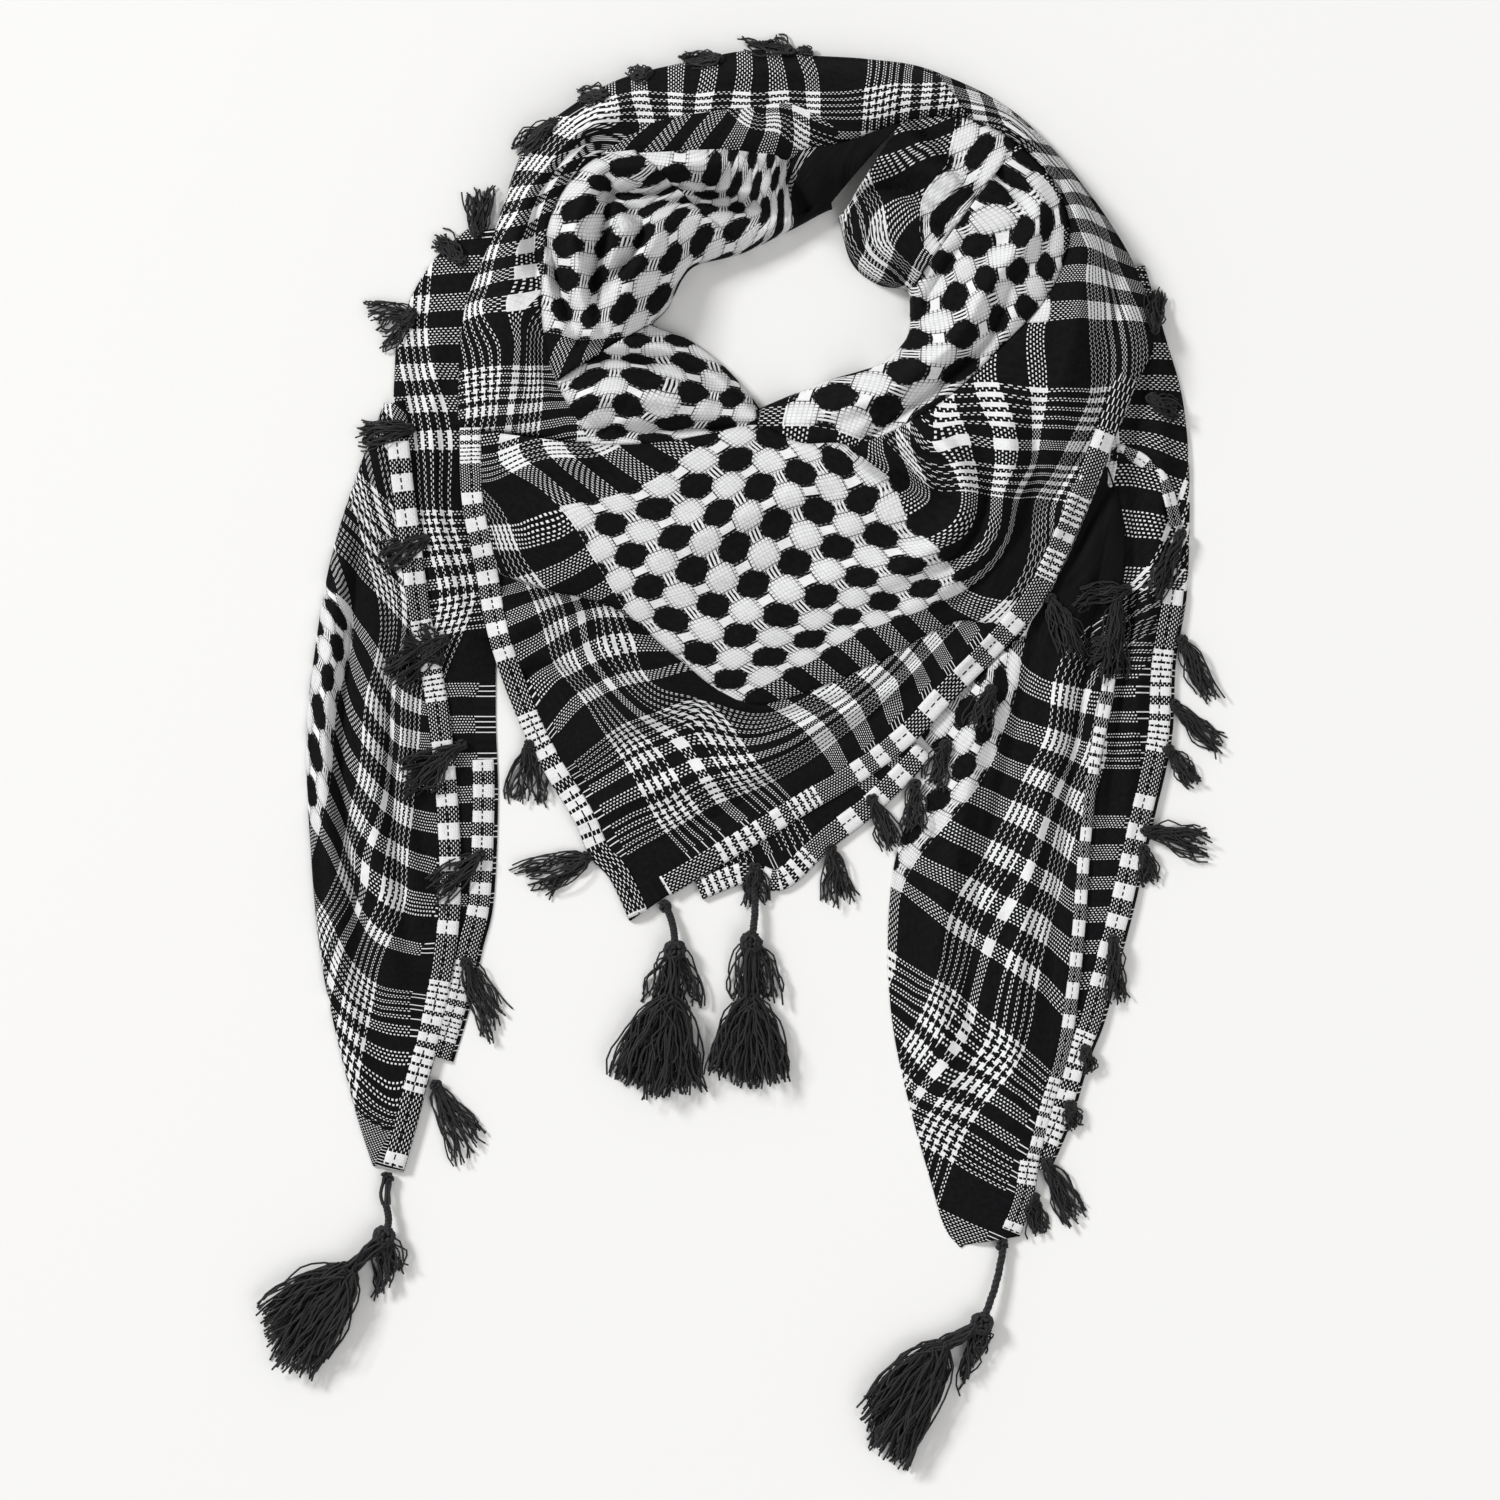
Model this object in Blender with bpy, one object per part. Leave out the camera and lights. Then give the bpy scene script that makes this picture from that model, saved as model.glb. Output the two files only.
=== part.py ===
"""A square cotton scarf, folded to a triangle, wound round a neck's room and laid flat.

Every stretch of cloth that shows is one closed solid between two rails. A rail is a smooth curve
along a hem, a fold or a crease, given in millimetres as x, y and the height of the cloth's top
there. X runs to the right, Y away from the wearer's front corner, and Z up from the floor.
"""
import math

import bmesh
import bpy
from mathutils import Vector

MM = 0.001
HEM_THICKNESS = 1.6
SEAM_GAP = 0.3
STATION_STEP = 9.0
CURVE_STEP = 1.5
ARCH_POWER = 0.7
FEWEST_STEPS = 4
FEWEST_ROWS = 6
SHARP_ANGLE = 50

CORD_RADIUS = 1.7
CORD_SIDES = 8
CORD_DROP = 1.5
KNOT_SEGMENTS = 8
KNOT_RINGS = 6
CORNER_KNOT_RADIUS = 5.0
CORNER_SKIRT_STRANDS = 12
CORNER_TUFT_STRANDS = 4
CORNER_TUFT_SPREAD = 4.0
HEM_KNOT_RADIUS = 2.8
HEM_TASSEL_STRANDS = 6
STRAND_RADIUS = 0.8
STRAND_LIFT = 0.5
STRAND_SIDES = 3
TIP_LAYER_GAP = 2.4
TIP_UNEVENNESS = 2.5
ROOT_DEPTH = 0.45
ROOT_SPREAD = 0.9
ROOT_DROP = 1.6
ROOT_LAYER_GAP = 3.2
ROOT_TAPER = 0.8
TASSEL_SEAT_GAP = 0.1

BLACK_THREAD = (0.012, 0.012, 0.013, 1.0)
CHECK_COTTON = (0.16, 0.16, 0.165, 1.0)
COTTON_ROUGHNESS = 0.9
THREAD_ROUGHNESS = 0.75

# Rails, with the columns x, y and height.
RAILS = {
    "hem_left": (
        (-125, 145, 9), (-124, 113, 7), (-119, 86, 6), (-112, 50, 5), (-99, 14, 4),
        (-88, -8, 3), (-74, -31, 2.5), (-67, -47, 2), (-58, -57, 2), (-49, -76, 2),
    ),
    "hem_right": (
        (140, 75, 8), (126, 50, 7), (105, 38, 6), (92, 25, 6), (80, 10, 5),
        (54, -24, 4), (27, -44, 4), (0, -53, 3.5), (-18, -62, 3), (-34, -67, 2),
    ),
    "outer": (
        (-125, 145, 9), (-125, 167, 9), (-122, 199, 9), (-108, 235, 9), (-95, 271, 9),
        (-81, 284, 9), (-54, 300, 9), (-18, 309, 9), (5, 313, 9), (27, 311, 9),
        (59, 309, 9), (86, 304, 9), (122, 286, 9), (153, 253, 9), (176, 217, 9),
        (185, 185, 9), (176, 163, 9), (162, 127, 9), (149, 95, 8), (140, 75, 8),
    ),
    "crease": (
        (-90, 140, 17), (-101, 163, 19), (-104, 190, 21), (-102, 217, 22), (-95, 244, 22),
        (-77, 264, 21), (-52, 275, 20), (-18, 274, 19), (14, 270, 18), (45, 272, 18),
        (72, 281, 19), (99, 283, 20), (124, 271, 22), (142, 250, 23), (147, 228, 23),
        (137, 203, 23), (117, 181, 22), (95, 160, 21), (72, 145, 20), (50, 136, 19),
    ),
    "hole": (
        (7, 153, 9), (2, 160, 9), (-9, 172, 10), (-23, 183, 10), (-41, 191, 11),
        (-34, 201, 11), (-23, 219, 11), (0, 226, 10), (23, 237, 9), (41, 246, 9),
        (46, 241, 9), (52, 221, 10), (63, 212, 10), (77, 208, 11), (78, 190, 11),
        (74, 181, 11), (63, 172, 10), (41, 165, 10), (23, 158, 9), (9, 152, 9),
    ),
    "front": (
        (-125, 145, 9), (-90, 140, 17), (-63, 137, 19), (-36, 138, 19), (-14, 142, 17),
        (8, 146, 14), (27, 138, 17), (50, 136, 19), (81, 115, 17), (117, 90, 12),
        (140, 75, 8),
    ),
    "drape": (
        (-119, 86, 6), (-90, 75, 9), (-56, 66, 11), (-27, 43, 10), (0, 23, 9),
        (27, 27, 9), (63, 42, 10), (99, 60, 10), (126, 50, 7),
    ),
    "back_hem": (
        (86, -2, 2), (74, -15, 2), (59, -29, 2), (41, -43, 2), (24, -59, 2),
        (14, -62, 2), (2, -59, 2), (-17, -66, 2),
    ),
    "tail_left_hem": (
        (-151, 158, 4), (-148, 127, 4), (-144, 95, 4), (-139, 59, 4), (-132, 23, 4),
        (-128, -13, 4), (-126, -49, 4), (-127, -80, 4), (-132, -112, 3.5), (-137, -134, 3),
    ),
    "tail_left_fold": (
        (-158, 156, 3), (-171, 122, 4), (-182, 86, 4), (-189, 46, 4), (-193, 5, 4),
        (-191, -44, 4), (-187, -89, 4), (-180, -125, 3), (-171, -161, 3), (-163, -186, 2),
    ),
    "tail_left_tip": ((-137, -134, 3), (-142, -152, 3), (-146, -168, 2.5), (-152, -189, 2)),
    "side_left_top": ((-116, 234, 4), (-133, 219, 4), (-145, 199, 4), (-150, 180, 4)),
    "side_left_hem": (
        (-112, 50, 3), (-112, 14, 3), (-111, -22, 3), (-113, -67, 3), (-118, -89, 3),
        (-124, -116, 2.5), (-131, -139, 2),
    ),
    "tail_right_hem": (
        (165, 128, 4), (172, 104, 4), (172, 77, 4), (170, 50, 4), (167, 23, 4),
        (161, -8, 4), (157, -44, 4), (155, -76, 4), (152, -107, 4), (148, -134, 3.5),
        (140, -161, 3), (134, -184, 3),
    ),
    "tail_right_tip": ((134, -184, 3), (131, -202, 2.5), (125, -218, 2)),
    "tail_right_fold": (
        (92, -2, 4), (80, -26, 4), (72, -49, 4), (69, -76, 4), (69, -103, 4),
        (72, -130, 4), (79, -161, 3), (88, -193, 3), (94, -213, 2.5), (101, -222, 2),
    ),
    "side_right_hem": (
        (180, 218, 4), (189, 187, 3), (197, 158, 3), (200, 122, 3), (199, 73, 3),
        (194, 41, 3), (192, 5, 3), (184, -31, 3), (176, -67, 3), (169, -94, 3),
        (162, -121, 3), (155, -139, 3), (147, -166, 2.5), (137, -189, 2),
    ),
}

# Stretches of cloth, with the columns: name, path on its left, path on its right, path along its
# start or None, crown's height at the start and the end, cells across, and what is added to the
# rail's height on the left and the right. A path is a row of rail, first point and last point.
STRETCHES = (
    ("bib_field", (("front", 0, 10),), (("drape", 0, 8),), (("hem_left", 0, 2),), 9, 6, 10, 0, 0),
    ("bib_border", (("hem_left", 2, 9),), (("hem_right", 1, 9),), (("drape", 0, 8),), 0, 1.5, 20,
     -0.5, -0.5),
    ("bib_back", (("hem_right", 4, 8),), (("back_hem", 0, 7),), None, 0, 0, 3, -2.2, 0),
    ("wrap_left", (("outer", 0, 5),), (("crease", 0, 5),), None, 5, 8, 9, 0, 0),
    ("wrap_top", (("outer", 5, 11),), (("crease", 5, 11),), None, 8, 8, 9, 0, 0),
    ("wrap_right", (("outer", 11, 15),), (("crease", 11, 15),), None, 8, 9, 9, 0, 0),
    ("shoulder_right", (("outer", 19, 15),), (("crease", 19, 15),),
     (("front", 10, 7),), 7, 9, 12, 0, 0),
    ("neck_left", (("crease", 1, 6),), (("hole", 4, 7),), None, 13, 11, 11, 0, 0),
    ("neck_lobe", (("crease", 1, 0), ("front", 1, 5)), (("hole", 4, 0),), None, 9, 4, 9, 0, 0),
    ("neck_back", (("crease", 6, 10),), (("hole", 7, 9),), None, 8, 6, 9, 0, 0),
    ("neck_right_lobe", (("crease", 10, 12),), (("hole", 10, 13),), None, 6, 11, 9, 0, 0),
    ("neck_right_roll", (("crease", 12, 19), ("front", 7, 5)), (("hole", 13, 19),), None, 12, 4,
     10, 0, 0),
    ("side_left", (("side_left_top", 0, 3), ("tail_left_hem", 0, 9)),
     (("outer", 3, 0), ("hem_left", 0, 3), ("side_left_hem", 0, 6)), None, 1, 0.5, 4, -1, -3),
    ("tail_left", (("tail_left_fold", 0, 9),), (("tail_left_hem", 0, 9), ("tail_left_tip", 0, 3)),
     None, 2, 2, 8, 0, 0),
    ("side_right", (("outer", 14, 16.8), ("tail_right_hem", 0.1, 11)),
     (("side_right_hem", 0, 13),), None, 1, 0.5, 5, -1, 0),
    ("tail_right", (("outer", 17, 19), ("hem_right", 0, 3.7), ("tail_right_fold", 0, 9)),
     (("tail_right_hem", 0, 11), ("tail_right_tip", 0, 2)), None, 3, 3, 10, -3, 0),
)

# Folds that run along a stretch, with the columns: stretch, place across it at the start and the
# end, half width across, height, and where the fold begins and stops along the stretch.
FOLDS = (
    ("bib_field", 0.35, 0.40, 0.16, 4.0, 0.05, 0.90),
    ("bib_field", 0.75, 0.70, 0.12, 3.0, 0.20, 0.95),
    ("bib_border", 0.30, 0.35, 0.07, 2.5, 0.00, 0.45),
    ("bib_border", 0.52, 0.55, 0.06, 2.0, 0.05, 0.60),
    ("bib_border", 0.80, 0.85, 0.05, 2.5, 0.00, 0.90),
    ("wrap_left", 0.45, 0.50, 0.15, 3.0, 0.00, 1.00),
    ("wrap_top", 0.50, 0.35, 0.16, 3.5, 0.00, 1.00),
    ("wrap_right", 0.35, 0.30, 0.15, 3.0, 0.00, 1.00),
    ("shoulder_right", 0.25, 0.30, 0.10, 4.0, 0.05, 1.00),
    ("shoulder_right", 0.55, 0.62, 0.10, 4.5, 0.05, 0.95),
    ("neck_left", 0.35, 0.40, 0.14, 4.0, 0.05, 1.00),
    ("neck_left", 0.72, 0.70, 0.12, 3.0, 0.10, 0.95),
    ("neck_lobe", 0.45, 0.50, 0.16, 3.0, 0.00, 0.90),
    ("neck_back", 0.55, 0.50, 0.16, 4.0, 0.05, 0.95),
    ("neck_right_lobe", 0.45, 0.55, 0.15, 3.5, 0.05, 0.95),
    ("neck_right_roll", 0.50, 0.50, 0.16, 3.0, 0.00, 1.00),
    ("tail_left", 0.35, 0.40, 0.16, 2.5, 0.05, 0.90),
    ("tail_left", 0.75, 0.60, 0.12, 1.8, 0.10, 0.80),
    ("tail_right", 0.30, 0.35, 0.13, 2.5, 0.10, 0.90),
    ("tail_right", 0.68, 0.70, 0.12, 2.5, 0.05, 0.95),
)

# Corner tassels, with the columns: where the cord starts, the knot, both ends of the skirt's
# edge, and the tip of the side tuft.
CORNER_TASSELS = (
    ((-34.4, -68.4), (-29, -90), (-57, -150), (-19, -154), (-17, -112)),
    ((6, -60.3), (4, -88), (-13, -146), (20, -148), (19, -112)),
    ((-157.6, -188.0), (-162, -222), (-217, -255), (-180, -279), (-155, -250)),
    ((116, -220.4), (107, -256), (56, -300), (76, -324), (108, -283)),
)

# Hem tassels, with the columns: name, path that carries it, the knot, the middle of its tip, and
# how far the tip spreads to each side.
HEM_TASSELS = (
    ("hem_tassel_top", (("outer", 8, 10),), (24, 315), (3, 319), 3),
    ("hem_tassel_left", (("side_left_top", 1, 3),), (-149, 197), (-170, 203), 6),
    ("hem_tassel_bib_1", (("hem_left", 4, 6),), (-97, 3), (-101, -22), 8),
    ("hem_tassel_bib_2", (("hem_left", 6, 8),), (-72, -50), (-99, -58), 7),
    ("hem_tassel_bib_3", (("back_hem", 2, 4),), (42, -47), (45, -71), 6),
    ("hem_tassel_tail_left_1", (("side_left_hem", 3, 5),), (-114, -91), (-108, -124), 4.5),
    ("hem_tassel_tail_left_2", (("tail_left_tip", 0, 2),), (-138, -154), (-120, -182), 6),
    ("hem_tassel_right_1", (("side_right_hem", 4, 6),), (199, 50), (213, 25), 4),
    ("hem_tassel_right_2", (("side_right_hem", 5, 7),), (196, 4), (216, -1), 6),
    ("hem_tassel_right_3", (("side_right_hem", 6, 8),), (187, -33), (210, -41), 6),
)


def clear_scene():
    for item in list(bpy.data.objects):
        bpy.data.objects.remove(item, do_unlink=True)


def new_collection(name):
    collection = bpy.data.collections.new(name)
    bpy.context.scene.collection.children.link(collection)
    return collection


def finish(name, colour, roughness):
    """A material of its own for each object: a Principled surface in the cloth's mean colour."""
    material = bpy.data.materials.new(name)
    material.use_nodes = True
    surface = material.node_tree.nodes["Principled BSDF"]
    surface.inputs["Base Color"].default_value = colour
    surface.inputs["Roughness"].default_value = roughness
    surface.inputs["Metallic"].default_value = 0.0
    return material


def spline_point(points, index):
    """A point on the smooth curve through the rail's points, at a fractional index."""
    last = len(points) - 1
    start = min(int(index), last - 1)
    part = index - start
    before = Vector(points[max(start - 1, 0)])
    here = Vector(points[start])
    there = Vector(points[start + 1])
    after = Vector(points[min(start + 2, last)])
    pull_here = (there - before) * 0.5
    pull_there = (after - here) * 0.5
    square = part * part
    cube = square * part
    return (
        here * (2 * cube - 3 * square + 1)
        + pull_here * (cube - 2 * square + part)
        + there * (3 * square - 2 * cube)
        + pull_there * (cube - square)
    )


def walk(path):
    """Close points along a path of rail slices."""
    points = []
    for rail, first, last in path:
        table = RAILS[rail]
        chord = sum(
            (Vector(a) - Vector(b)).length for a, b in zip(table, table[1:])
        ) / (len(table) - 1)
        steps = max(FEWEST_STEPS, int(abs(last - first) * chord / CURVE_STEP))
        for step in range(steps + 1):
            points.append(spline_point(table, first + (last - first) * step / steps))
    return points


def spread(points, count, trim):
    """The same curve as count points at even spacing, its two ends cut back by trim."""
    reach = [0.0]
    for here, there in zip(points, points[1:]):
        reach.append(reach[-1] + (there - here).length)
    total = reach[-1]
    result = []
    segment = 0
    for number in range(count):
        wanted = trim + (total - 2 * trim) * number / (count - 1)
        while segment < len(points) - 2 and reach[segment + 1] < wanted:
            segment += 1
        span = max(reach[segment + 1] - reach[segment], 1e-9)
        result.append(points[segment].lerp(points[segment + 1], (wanted - reach[segment]) / span))
    return result


def fold_height(name, along, across):
    """The height that the named folds add at a place on a stretch."""
    height = 0.0
    for stretch, place_start, place_end, half_width, rise, begin, stop in FOLDS:
        if stretch != name or not begin <= along <= stop:
            continue
        place = place_start + (place_end - place_start) * along
        distance = abs(across - place) / half_width
        if distance >= 1.0:
            continue
        fade = math.sin(math.pi * (along - begin) / (stop - begin)) ** 0.5
        height += rise * fade * (0.5 + 0.5 * math.cos(math.pi * distance))
    return height


def cloth_solid(row, collection):
    """Loft one stretch between its two paths, flat underneath and crowned on top."""
    name, left_path, right_path, start_path = row[:4]
    crown_start, crown_end, columns, left_add, right_add = row[4:]
    left_walk = walk(left_path)
    right_walk = walk(right_path)
    length = max(
        sum((b - a).length for a, b in zip(points, points[1:])) for points in (left_walk, right_walk)
    )
    rows = max(FEWEST_ROWS, int(length / STATION_STEP))
    left = spread(left_walk, rows + 1, SEAM_GAP)
    right = spread(right_walk, rows + 1, SEAM_GAP)
    if start_path:
        start_walk = walk(start_path)
        start_length = sum((b - a).length for a, b in zip(start_walk, start_walk[1:]))
        columns = max(columns, int(start_length / STATION_STEP))
    bend = [Vector((0, 0, 0))] * (columns + 1)
    if start_path:
        start = spread(start_walk, columns + 1, 0.0)
        bend = [
            point - start[0].lerp(start[-1], number / columns) for number, point in enumerate(start)
        ]
    mesh = bmesh.new()
    grid = []
    for row_number in range(rows + 1):
        along = row_number / rows
        crown = crown_start + (crown_end - crown_start) * along
        across_line = (right[row_number] - left[row_number]).xy
        inset = SEAM_GAP / max(across_line.length, 1.0)
        line = []
        for column in range(columns + 1):
            share = column / columns
            place = inset + (1 - 2 * inset) * share
            point = left[row_number].lerp(right[row_number], place)
            point = point + bend[column] * (1 - along)
            arch = math.sin(math.pi * share) ** ARCH_POWER if 0 < column < columns else 0.0
            height = point.z + left_add * (1 - share) + right_add * share
            height += crown * arch + fold_height(name, along, share)
            line.append(mesh.verts.new((point.x * MM, point.y * MM, max(height, HEM_THICKNESS) * MM)))
        grid.append(line)
    for line, next_line in zip(grid, grid[1:]):
        for column in range(columns):
            mesh.faces.new((line[column], line[column + 1], next_line[column + 1], next_line[column]))
    rim = grid[0] + [line[-1] for line in grid[1:]]
    rim += grid[-1][-2::-1] + [line[0] for line in grid[-2:0:-1]]
    floor = [mesh.verts.new((vertex.co.x, vertex.co.y, 0.0)) for vertex in rim]
    for number in range(len(rim)):
        following = (number + 1) % len(rim)
        mesh.faces.new((rim[number], rim[following], floor[following], floor[number]))
    mesh.faces.new(floor)
    bmesh.ops.recalc_face_normals(mesh, faces=mesh.faces)
    data = bpy.data.meshes.new(name)
    mesh.to_mesh(data)
    mesh.free()
    data.shade_smooth()
    data.set_sharp_from_angle(angle=math.radians(SHARP_ANGLE))
    item = bpy.data.objects.new(name, data)
    item.data.materials.append(finish(name + "_cotton", CHECK_COTTON, COTTON_ROUGHNESS))
    collection.objects.link(item)
    return item


def add_rod(mesh, start, end, start_radius, end_radius, sides):
    """A tapered rod with flat ends between two places, as one strand or a length of cord."""
    axis = end - start
    turn = axis.to_track_quat("Z", "X").to_matrix().to_4x4()
    turn.translation = (start + end) * 0.5
    bmesh.ops.create_cone(
        mesh, cap_ends=True, segments=sides, radius1=start_radius, radius2=end_radius,
        depth=axis.length, matrix=turn,
    )


def add_knot(name, centre, radius, collection):
    """The bound head that the strands hang from, a ball just clear of the floor."""
    mesh = bmesh.new()
    bmesh.ops.create_uvsphere(
        mesh, u_segments=KNOT_SEGMENTS, v_segments=KNOT_RINGS, radius=radius * MM,
    )
    for vertex in mesh.verts:
        vertex.co = vertex.co + centre * MM
    data = bpy.data.meshes.new(name)
    mesh.to_mesh(data)
    mesh.free()
    data.shade_smooth()
    item = bpy.data.objects.new(name, data)
    item.data.materials.append(finish(name + "_thread", BLACK_THREAD, THREAD_ROUGHNESS))
    collection.objects.link(item)
    return item


def join_strands(head, rods, helpers):
    """Fuse the strands' roots into the head."""
    data = bpy.data.meshes.new(head.name + "_strands")
    rods.to_mesh(data)
    rods.free()
    strands = bpy.data.objects.new(head.name + "_strands", data)
    strands.hide_render = True
    strands.display_type = "WIRE"
    helpers.objects.link(strands)
    fuse = head.modifiers.new("roots", "BOOLEAN")
    fuse.operation = "UNION"
    fuse.solver = "EXACT"
    fuse.use_self = True
    fuse.object = strands


def fan(mesh, knot, first_end, last_end, count, root_radius):
    """Strands from a knot to a spread edge, in two layers that part as they go."""
    for number in range(count):
        share = number / (count - 1)
        layer = number % 2
        tip = first_end.lerp(last_end, share)
        tip.z = STRAND_RADIUS + STRAND_LIFT + layer * TIP_LAYER_GAP
        aim = (tip - knot).normalized()
        side = Vector((aim.y, -aim.x, 0)) * (share - 0.5) * root_radius * ROOT_SPREAD
        root = knot + aim * root_radius * ROOT_DEPTH + side
        root.z = knot.z - ROOT_DROP + layer * ROOT_LAYER_GAP
        tip = tip - aim * TIP_UNEVENNESS * (number % 3)
        root_width = STRAND_RADIUS * MM * ROOT_TAPER
        add_rod(mesh, root * MM, tip * MM, root_width, STRAND_RADIUS * MM, STRAND_SIDES)


def corner_tassel(number, row, collection, helpers):
    cord_start, knot_place, first_end, last_end, tuft_tip = row
    radius = CORNER_KNOT_RADIUS
    knot = Vector((*knot_place, radius + STRAND_LIFT))
    name = f"corner_tassel_{number}"
    head = add_knot(name, knot, radius, collection)
    rods = bmesh.new()
    start = Vector((*cord_start, CORD_RADIUS + STRAND_LIFT))
    cord_end = knot - Vector((0, 0, CORD_DROP))
    add_rod(rods, start * MM, cord_end * MM, CORD_RADIUS * MM, CORD_RADIUS * MM, CORD_SIDES)
    fan(rods, knot, Vector((*first_end, 0)), Vector((*last_end, 0)), CORNER_SKIRT_STRANDS, radius)
    tuft = Vector((*tuft_tip, 0))
    beside = Vector((-(tuft - knot).y, (tuft - knot).x, 0)).normalized() * CORNER_TUFT_SPREAD
    fan(rods, knot, tuft + beside, tuft - beside, CORNER_TUFT_STRANDS, radius)
    join_strands(head, rods, helpers)


def seat(place, path, radius):
    """Where a knot of this radius sits against the hem that carries it, which may be lower."""
    near = min(walk(path), key=lambda point: (point.xy - place).length)
    away = (place - near.xy).normalized()
    below = max(radius + STRAND_LIFT - near.z, 0.0)
    return near.xy + away * (math.sqrt(radius * radius - below * below) + TASSEL_SEAT_GAP)


def hem_tassel(row, collection, helpers):
    name, path, knot_place, tip_place, spread_aside = row
    radius = HEM_KNOT_RADIUS
    knot = Vector((*seat(Vector(knot_place), path, radius), radius + STRAND_LIFT))
    tip = Vector((*tip_place, 0))
    head = add_knot(name, knot, radius, collection)
    rods = bmesh.new()
    across = Vector((-(tip - knot).y, (tip - knot).x, 0)).normalized() * spread_aside
    fan(rods, knot, tip + across, tip - across, HEM_TASSEL_STRANDS, radius)
    join_strands(head, rods, helpers)


def build():
    clear_scene()
    scarf = new_collection("checked_scarf")
    helpers = new_collection("strands")
    for row in STRETCHES:
        cloth_solid(row, scarf)
    for number, row in enumerate(CORNER_TASSELS, start=1):
        corner_tassel(number, row, scarf, helpers)
    for row in HEM_TASSELS:
        hem_tassel(row, scarf, helpers)


build()
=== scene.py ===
# %% [markdown]
# # A square cotton scarf in a black and white check
#
# The real object is one thin square of woven cotton. It is folded corner to corner, wound round a
# neck's room and laid flat, so what shows is a row of stretches of the same cloth, each going a
# different way. The packed model gives the main forms. Here each stretch gets its own thin sheet,
# a woven finish that follows the cloth's own directions, and thread tassels made strand by strand.

# %% Load the frame
import math
import random

import bpy
import numpy as np
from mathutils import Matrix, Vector, noise
from mathutils.bvhtree import BVHTree


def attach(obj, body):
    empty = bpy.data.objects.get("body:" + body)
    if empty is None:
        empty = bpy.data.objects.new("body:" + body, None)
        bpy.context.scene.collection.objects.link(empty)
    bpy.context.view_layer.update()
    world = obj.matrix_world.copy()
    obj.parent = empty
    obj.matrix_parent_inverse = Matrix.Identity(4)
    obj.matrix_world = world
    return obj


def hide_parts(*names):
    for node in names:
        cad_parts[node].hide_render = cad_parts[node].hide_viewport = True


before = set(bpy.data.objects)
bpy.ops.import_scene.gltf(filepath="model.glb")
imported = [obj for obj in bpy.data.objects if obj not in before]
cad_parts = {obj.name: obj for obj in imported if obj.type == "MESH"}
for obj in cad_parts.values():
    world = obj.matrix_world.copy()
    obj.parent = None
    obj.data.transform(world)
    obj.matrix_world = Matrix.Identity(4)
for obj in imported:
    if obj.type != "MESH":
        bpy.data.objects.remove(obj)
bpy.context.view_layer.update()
bpy.ops.object.select_all(action="DESELECT")

# %% [markdown]
# ## Camera
#
# The photograph looks straight down on the scarf. A camera close above would spread the outline of
# the higher folds, so this one stands far above with a long lens. Places that were read in the
# photograph's frame become places on the table by one function, which every later step can use.

# %% Camera
MM = 0.001
PIXEL = 0.45 * MM
MIDDLE_X = 740
MIDDLE_Y = 751.5
FRAME_MIDDLE = (750, 750)
FRAME_WIDTH = 0.675
CAMERA_HEIGHT = 2.4
SENSOR_WIDTH = 36


def floor_place(column, row):
    """A place on the table, from where it shows in the photograph's frame."""
    return ((column - MIDDLE_X) * PIXEL, (MIDDLE_Y - row) * PIXEL)


camera_place = (*floor_place(*FRAME_MIDDLE), CAMERA_HEIGHT)
bpy.ops.object.camera_add(location=camera_place, rotation=(0, 0, 0))
camera = bpy.context.object
camera.data.sensor_width = SENSOR_WIDTH
camera.data.lens = SENSOR_WIDTH * CAMERA_HEIGHT / FRAME_WIDTH
bpy.context.scene.camera = camera
print("camera at", tuple(round(x, 3) for x in camera.location))

# %% [markdown]
# ## Table and light
#
# The scarf lies on a plain pale table in soft daylight. One strong lamp alone would give hard
# shadows, so a near-white world gives much of the light, a wide lamp at the upper left stands for
# a window, and a weak one opens the shadows from the other side. The window is far off, so that
# the table is evenly bright. The standard view transform keeps the black yarn black.

# %% Table and light
TABLE_SIZE = 6
WORLD_COLOUR = (1.0, 0.99, 0.98, 1)
WORLD_STRENGTH = 0.46
# Columns: name, place in metres, width in metres, power in watts.
LAMPS = (
    ("window_left", (-5.1, 3.75, 4.35), 1.65, 492),
    ("fill_right", (1.8, -1.4, 2.6), 2.4, 33),
)

bpy.ops.mesh.primitive_plane_add(size=TABLE_SIZE, location=(0, 0, 0))
table_top = bpy.context.object
table_top.name = "table_top"

world = bpy.data.worlds.new("studio")
bpy.context.scene.world = world
world.use_nodes = True
background = world.node_tree.nodes["Background"]
background.inputs["Color"].default_value = WORLD_COLOUR
background.inputs["Strength"].default_value = WORLD_STRENGTH
bpy.context.scene.view_settings.view_transform = "Standard"


def add_lamp(name, place, width, power):
    """A square lamp that faces the middle of the table."""
    bpy.ops.object.light_add(type="AREA", location=place)
    lamp = bpy.context.object
    lamp.name = name
    lamp.data.size = width
    lamp.data.energy = power
    lamp.rotation_euler = (-Vector(place)).to_track_quat("-Z", "Y").to_euler()


for row in LAMPS:
    add_lamp(*row)
print("lamps", len(LAMPS))

# %% [markdown]
# ## A small class for finishes
#
# A woven pattern is arithmetic on two numbers: how far a spot lies from one hem and from the
# other. It could be joined up node by node in the shader editor. Here a node's output is wrapped in
# a class instead, so that the arithmetic reads as plain sums.

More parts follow.
